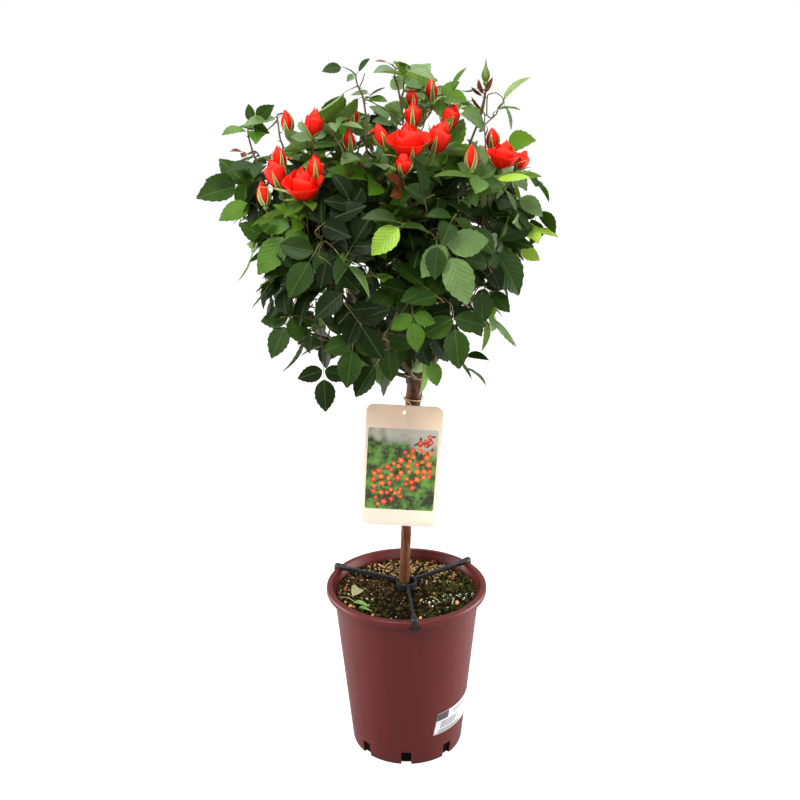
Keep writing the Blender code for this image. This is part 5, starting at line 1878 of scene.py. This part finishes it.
def make_trunk():
    """Clear stem with swollen nodes, its flare at the soil and the knobbly graft head."""
    line, radii = [], []
    steps = 110
    shoulder = HEAD_CENTRE.z - HEAD_RADIUS * 2.4
    for k in range(steps + 1):
        height = STEM_FOOT.z + (shoulder - STEM_FOOT.z) * k / steps
        swell = sum(math.exp(-(((height - node) / STEM_NODE_LENGTH) ** 2)) for node in STEM_NODES)
        line.append(stem_centre(height))
        radii.append(stem_radius(height) + STEM_NODE_SWELL * swell)
    for k in range(21):
        turn = math.radians(-66 + 140 * k / 20)
        line.append(HEAD_CENTRE + Vector((0, 0, HEAD_RADIUS * math.sin(turn))))
        radii.append(max(HEAD_RADIUS * math.cos(turn) * 0.93, stem_radius(shoulder) * (k < 5)))
    trunk = rod("rose_stem", line, radii, 6)
    stubs = []
    dice = random.Random(8)
    for _ in range(7):
        azimuth = dice.uniform(0, ANY_TURN)
        lift = dice.uniform(-0.020, 0.006)
        away = Vector((math.cos(azimuth), math.sin(azimuth), 0.35))
        start = HEAD_CENTRE + Vector((0, 0, lift))
        reach = HEAD_RADIUS * dice.uniform(0.75, 1.0)
        stubs.append(rod("stub", [start, start + away * reach], [0.0046, 0.0030], 3))
    merged_with(trunk, joined("stubs", stubs), "UNION")
    modified(trunk, "REMESH", mode="VOXEL", voxel_size=WOOD_VOXEL)
    relief(trunk, 0.0040, 0.0013, stretch=(1, 1, 3.0))
    relief(trunk, 0.0016, 0.0006, stretch=(1, 1, 6.0))
    for vert in trunk.data.vertices:
        vert.co.z = max(vert.co.z, STEM_FOOT.z - 0.002)
    finished(trunk, bark_material(), ["trunk"], 70)


def make_boughs():
    """The boughs, which spring from inside the head and taper to their masses."""
    taper = BOUGH_TIP_RADIUS - BOUGH_ROOT_RADIUS
    radii = [BOUGH_ROOT_RADIUS + taper * min(1.0, k / 18) for k in range(23)]
    radii[0] *= 1.35
    radii[1] *= 1.18
    boughs = joined("rose_boughs", [rod("bough", bough_line(mass, 22), radii, 4) for mass in MASSES])
    modified(boughs, "REMESH", mode="VOXEL", voxel_size=WOOD_VOXEL)
    relief(boughs, 0.0035, 0.0009, stretch=(1, 1, 1.5))
    nodes = ["bough_" + mass[0] for mass in MASSES]
    finished(boughs, natural_material("bough_bark"), nodes, 70)


# Stem holder, care tag and string


def make_holder():
    """Hub ring, and three ribs with a flange on top out to knobs that clip over the rim."""
    low, bore = HUB_TOP - HUB_HEIGHT, HUB_RADIUS - HUB_WALL
    profile = [(bore, low + 0.0005), (bore + 0.0005, low), (HUB_RADIUS - 0.0005, low)]
    profile += [(HUB_RADIUS, low + 0.0005), (HUB_RADIUS, HUB_TOP - 0.0006)]
    profile += [(HUB_RADIUS - 0.0006, HUB_TOP)]
    profile += [(bore + 0.0005, HUB_TOP), (bore, HUB_TOP - 0.0005), (bore, low + 0.0005)]
    hub = turned("holder_hub", profile, 56, ring=True)
    welded(hub, WELD_GAP / 2)
    inner, outer, rim = HUB_RADIUS - HUB_WALL * 0.5, RIM_RADIUS - 0.004, RIM_RADIUS + 0.0003
    shapes = (
        ("web", (inner, -WEB_HALF, ARM_TOP - ARM_DEPTH), (outer, WEB_HALF, ARM_TOP - 0.0004)),
        ("flange", (inner, -ARM_WIDTH / 2, ARM_TOP - FLANGE_DEPTH), (rim, ARM_WIDTH / 2, ARM_TOP)),
        ("down", (rim, -0.0026, CLIP_LOW), (rim + CLIP_WALL, 0.0026, ARM_TOP - 0.0003)),
        ("foot", (rim - 0.0004, -0.0062, CLIP_LOW), (rim + 0.0028, 0.0062, POT_HEIGHT - 0.0074)),
    )
    parts, knobs = [], []
    for angle in ARM_ANGLES:
        parts += [block(*shape, angle) for shape in shapes]
        out = Vector((math.cos(angle), math.sin(angle), 0))
        height = Vector((0, 0, ARM_TOP - 0.0018))
        line = [out * (RIM_RADIUS + reach) + height for reach, _ in KNOB_PROFILE]
        knobs.append(rod("knob", line, [radius for _, radius in KNOB_PROFILE], 4))
    arms = joined("arms", parts)
    bevelled(arms, 0.00035, 50)
    holder = joined("holder", [arms, hub, *knobs])
    finished(holder, coated_material("holder_black"), ["stem_holder"], 42)


def tag_frame():
    """Matrix from the card's own axes, X across and Z up from its top edge."""
    turn = Matrix.Rotation(TAG_ROLL, 4, "Y") @ Matrix.Rotation(TAG_PITCH, 4, "X")
    return Matrix.Translation(TAG_TOP_CENTRE) @ turn


def make_tag():
    """Flat card with round corners and a punched hole."""
    half, thin = TAG_WIDTH / 2, TAG_THICKNESS / 2
    tag = block("hanging_card", (-half, -thin, -TAG_LENGTH), (half, thin, 0), 0.0)
    bpy.ops.object.mode_set(mode="EDIT")
    bpy.ops.mesh.select_mode(type="EDGE")
    bpy.ops.mesh.select_all(action="DESELECT")
    mesh = bmesh.from_edit_mesh(tag.data)
    for edge in mesh.edges:
        if abs(edge.verts[0].co.y - edge.verts[1].co.y) > thin:
            edge.select_set(True)
    bmesh.update_edit_mesh(tag.data)
    bpy.ops.mesh.bevel(offset=TAG_CORNER, segments=10)
    bpy.ops.object.mode_set(mode="OBJECT")
    deselect()
    bpy.ops.mesh.primitive_cylinder_add(
        vertices=40, radius=TAG_HOLE_RADIUS, depth=0.01,
        location=(0, 0, -TAG_HOLE_INSET), rotation=(math.pi / 2, 0, 0),
    )
    merged_with(tag, named("punch"), "DIFFERENCE")
    bevelled(tag, 0.00015, 60)
    tag.data.transform(tag_frame())
    finished(tag, card_material(), ["care_tag"], 40)


def flat_outline(sheaf, outline, depth):
    """A flat printed shape on the front of the card, as a fan about its middle."""
    outline = [(x, -TAG_THICKNESS / 2 - depth, z) for x, z in outline]
    middle = np.mean(np.array(outline), axis=0)
    points = [tag_frame() @ Vector(p) for p in (*outline, middle)]
    count = len(outline)
    sheaf.add(np.array(points), [(k, (k + 1) % count, count) for k in range(count)])


def blossom_outline(x, z, radius, turn):
    """Outline of a simple blossom with five round petals."""
    outline = []
    for k in range(30):
        angle = 2 * math.pi * k / 30
        reach = radius * (0.80 + 0.20 * math.cos(5 * (angle - turn)))
        outline.append((x + reach * math.cos(angle), z + reach * math.sin(angle)))
    return outline


def sprig_outline(x, z, radius, angle, side):
    """Outline of a small leaf that looks out from under a blossom, kept inside the picture."""
    outline = []
    for i in range(10):
        t = 2 * math.pi * i / 10
        a, b = radius * 0.9 * math.cos(t), radius * 0.42 * math.sin(t)
        reach = side * radius * 1.15
        leaf_x = x + reach * math.cos(angle) + a * math.cos(angle) - b * math.sin(angle)
        leaf_z = z + reach * math.sin(angle) + a * math.sin(angle) + b * math.cos(angle)
        outline.append((min(max(leaf_x, PICTURE_LEFT + 0.001), PICTURE_RIGHT - 0.001), leaf_z))
    return outline


def picture_outline():
    """The picture's edge, with round corners."""
    outline = []
    corners = (
        (PICTURE_RIGHT, PICTURE_TOP, 0), (PICTURE_LEFT, PICTURE_TOP, 90),
        (PICTURE_LEFT, PICTURE_BOTTOM, 180), (PICTURE_RIGHT, PICTURE_BOTTOM, 270),
    )
    for x, z, start in corners:
        middle_x = x - math.copysign(PICTURE_CORNER, x)
        middle_z = z - (PICTURE_CORNER if z == PICTURE_TOP else -PICTURE_CORNER)
        for k in range(5):
            angle = math.radians(start + 22.5 * k)
            x_out, z_out = PICTURE_CORNER * math.cos(angle), PICTURE_CORNER * math.sin(angle)
            outline.append((middle_x + x_out, middle_z + z_out))
    return outline


def blossom_spots(dice):
    """Places and radii of blossoms along a slanting band of the picture, clear of each other."""
    spots = []
    for _ in range(2600):
        x = dice.uniform(PICTURE_LEFT + 0.006, PICTURE_RIGHT - 0.006)
        z = dice.uniform(PICTURE_BOTTOM + 0.006, PICTURE_TOP - 0.006)
        up = (z - PICTURE_BOTTOM) / (PICTURE_TOP - PICTURE_BOTTOM)
        band = abs(up - 0.12 - 0.62 * (x - PICTURE_LEFT) / (PICTURE_RIGHT - PICTURE_LEFT))
        if band > 0.27 or len(spots) >= BLOSSOM_COUNT:
            continue
        radius = dice.uniform(0.0026, 0.0044)
        if all(math.hypot(x - a, z - b) > 0.86 * (radius + r) for a, b, r in spots):
            spots.append((x, z, radius))
    return spots


def make_tag_print():
    """Generic picture on the card: a soft field with sprays of plain round blossoms."""
    field = Sheaf("card_picture")
    flat_outline(field, picture_outline(), 0.00006)
    field.piece(print_material(), "card")
    dice = random.Random(21)
    inks = {name: Sheaf(name) for name, _ in PRINT_INKS}
    for k, (x, z, radius) in enumerate(blossom_spots(dice)):
        for side in (-1, 1):
            leaf = sprig_outline(x, z, radius, dice.uniform(0, ANY_TURN), side)
            flat_outline(inks["print_leaves"], leaf, 0.00010)
        kind = dice.choice(("print_red", "print_orange"))
        blossom = blossom_outline(x, z, radius, dice.uniform(0, ANY_TURN))
        flat_outline(inks[kind], blossom, 0.00014 + 0.000002 * k)
        flat_outline(inks["print_hearts"], blossom_outline(x, z, radius * 0.30, 0.0), 0.00030)
    for name, finish in PRINT_INKS:
        inks[name].piece(coated_material(finish), "card")


def make_string():
    """Twisted twine: a loop round the stem, a knot, and the strand through the card."""
    centre = stem_centre(STRING_HEIGHT)
    reach = stem_radius(STRING_HEIGHT) + STRING_RADIUS + 0.0010
    out = Vector((math.cos(KNOT_ANGLE), math.sin(KNOT_ANGLE), 0))
    loop, high = [], []
    for k in range(41):
        angle = KNOT_ANGLE + 2 * math.pi * k / 40
        sway = 0.0008 * math.sin(angle * 2)
        loop.append(centre + Vector((reach * math.cos(angle), reach * math.sin(angle), sway)))
    for point in loop:
        lift = 0.0016 + (point.x - centre.x) * -0.16
        high.append(HEAD_CENTRE + (point - centre) * 1.16 + Vector((0, 0, lift)))
    knot = centre + out * (reach + 0.0006)
    eye = -TAG_HOLE_INSET + TAG_HOLE_RADIUS - STRING_RADIUS
    route = ((-0.0011, 0.0026), (-0.0020, 0.0004), (-0.0020, eye * 0.6), (-0.0012, eye))
    route += ((0.0012, eye), (0.0020, eye * 0.6), (0.0020, 0.0004), (0.0014, 0.0026))
    carry = [knot, *(tag_frame() @ Vector((0, y, z)) for y, z in route), knot]
    ends = [
        [knot, knot + Vector((-0.003, -0.003, 0.004)), knot + Vector((-0.0052, -0.002, 0.0115))],
        [knot, knot + Vector((0.004, -0.004, -0.002)), knot + Vector((0.0065, -0.005, -0.0065))],
    ]
    strands = []
    for line in (loop, high, carry, *ends):
        strands += twisted(spline_points(line, 5))
    deselect()
    bpy.ops.mesh.primitive_uv_sphere_add(segments=16, ring_count=10, radius=KNOT_RADIUS, location=knot)
    strands.append(named("knot"))
    string = joined("card_string", strands)
    finished(string, natural_material("string_twine"), ["tag_string"], 60)


def spline_points(points, steps):
    """A smooth line through points, by their neighbours' directions."""
    result = []
    for k in range(len(points) - 1):
        before = points[max(k - 1, 0)]
        start, end = points[k], points[k + 1]
        after = points[min(k + 2, len(points) - 1)]
        first = start + (end - before) / 6
        second = end - (after - start) / 6
        result += bezier(start, first, second, end, steps)[:-1]
    return result + [points[-1]]


def twisted(line):
    """Two thin plies that wind round one line."""
    plies = []
    travelled = 0.0
    offsets = [[], []]
    for k, point in enumerate(line):
        before, after = line[max(k - 1, 0)], line[min(k + 1, len(line) - 1)]
        travelled += (point - before).length
        first, second = side_axes((after - before).normalized())
        angle = travelled * STRING_TWIST
        shift = (first * math.cos(angle) + second * math.sin(angle)) * STRING_RADIUS * 0.42
        offsets[0].append(point + shift)
        offsets[1].append(point - shift)
    for offset in offsets:
        plies.append(rod("ply", offset, [STRING_RADIUS * 0.62] * len(offset), 1))
    return plies


# Crown


def nearest_mass(place):
    return min(range(len(MASSES)), key=lambda k: (mass_centre(MASSES[k]) - metres(place)).length)


def make_crown():
    crown = Crown()
    masses = []
    for k, mass in enumerate(MASSES):
        masses.append(Mass(mass, MASSES[:k] + MASSES[k + 1 :], crown, SEED + k))
        leaders = [leader for leader in LEADERS if nearest_mass(leader[1][-1]) == k]
        sprays = [spray for spray in SPRAYS if nearest_mass(spray[0]) == k]
        flowers = [flower for flower in FLOWERS if nearest_mass(flower[1]) == k]
        shoots = [shoot for shoot in SHOOTS if nearest_mass(shoot[0]) == k]
        masses[k].grow_limbs(leaders, sprays, flowers, shoots)
    for mass in masses:
        mass.grow_leaves()
    for shade in SHADES:
        crown.leaves[shade].piece(thin_material("leaf_" + shade), "leaf")
    nodes = ["foliage_" + mass[0] for mass in MASSES]
    crown.twigs.piece(natural_material("twig_bark"), "young_bark", nodes)
    crown.stalks.piece(natural_material("stalk_green"), "leaf")
    crown.petals.piece(thin_material("petal_bright"), "leaf")
    crown.deep_petals.piece(thin_material("petal_deep"), "leaf")
    crown.sepals.piece(natural_material("sepal_green"), "leaf")
    crown.sepal_edges.piece(natural_material("sepal_pale"), "leaf")


def main():
    make_camera()
    make_studio()
    make_pot()
    make_label()
    make_soil()
    make_soil_grains()
    make_loose_bits()
    make_trunk()
    make_boughs()
    make_holder()
    make_tag()
    make_tag_print()
    make_string()
    make_crown()


main()
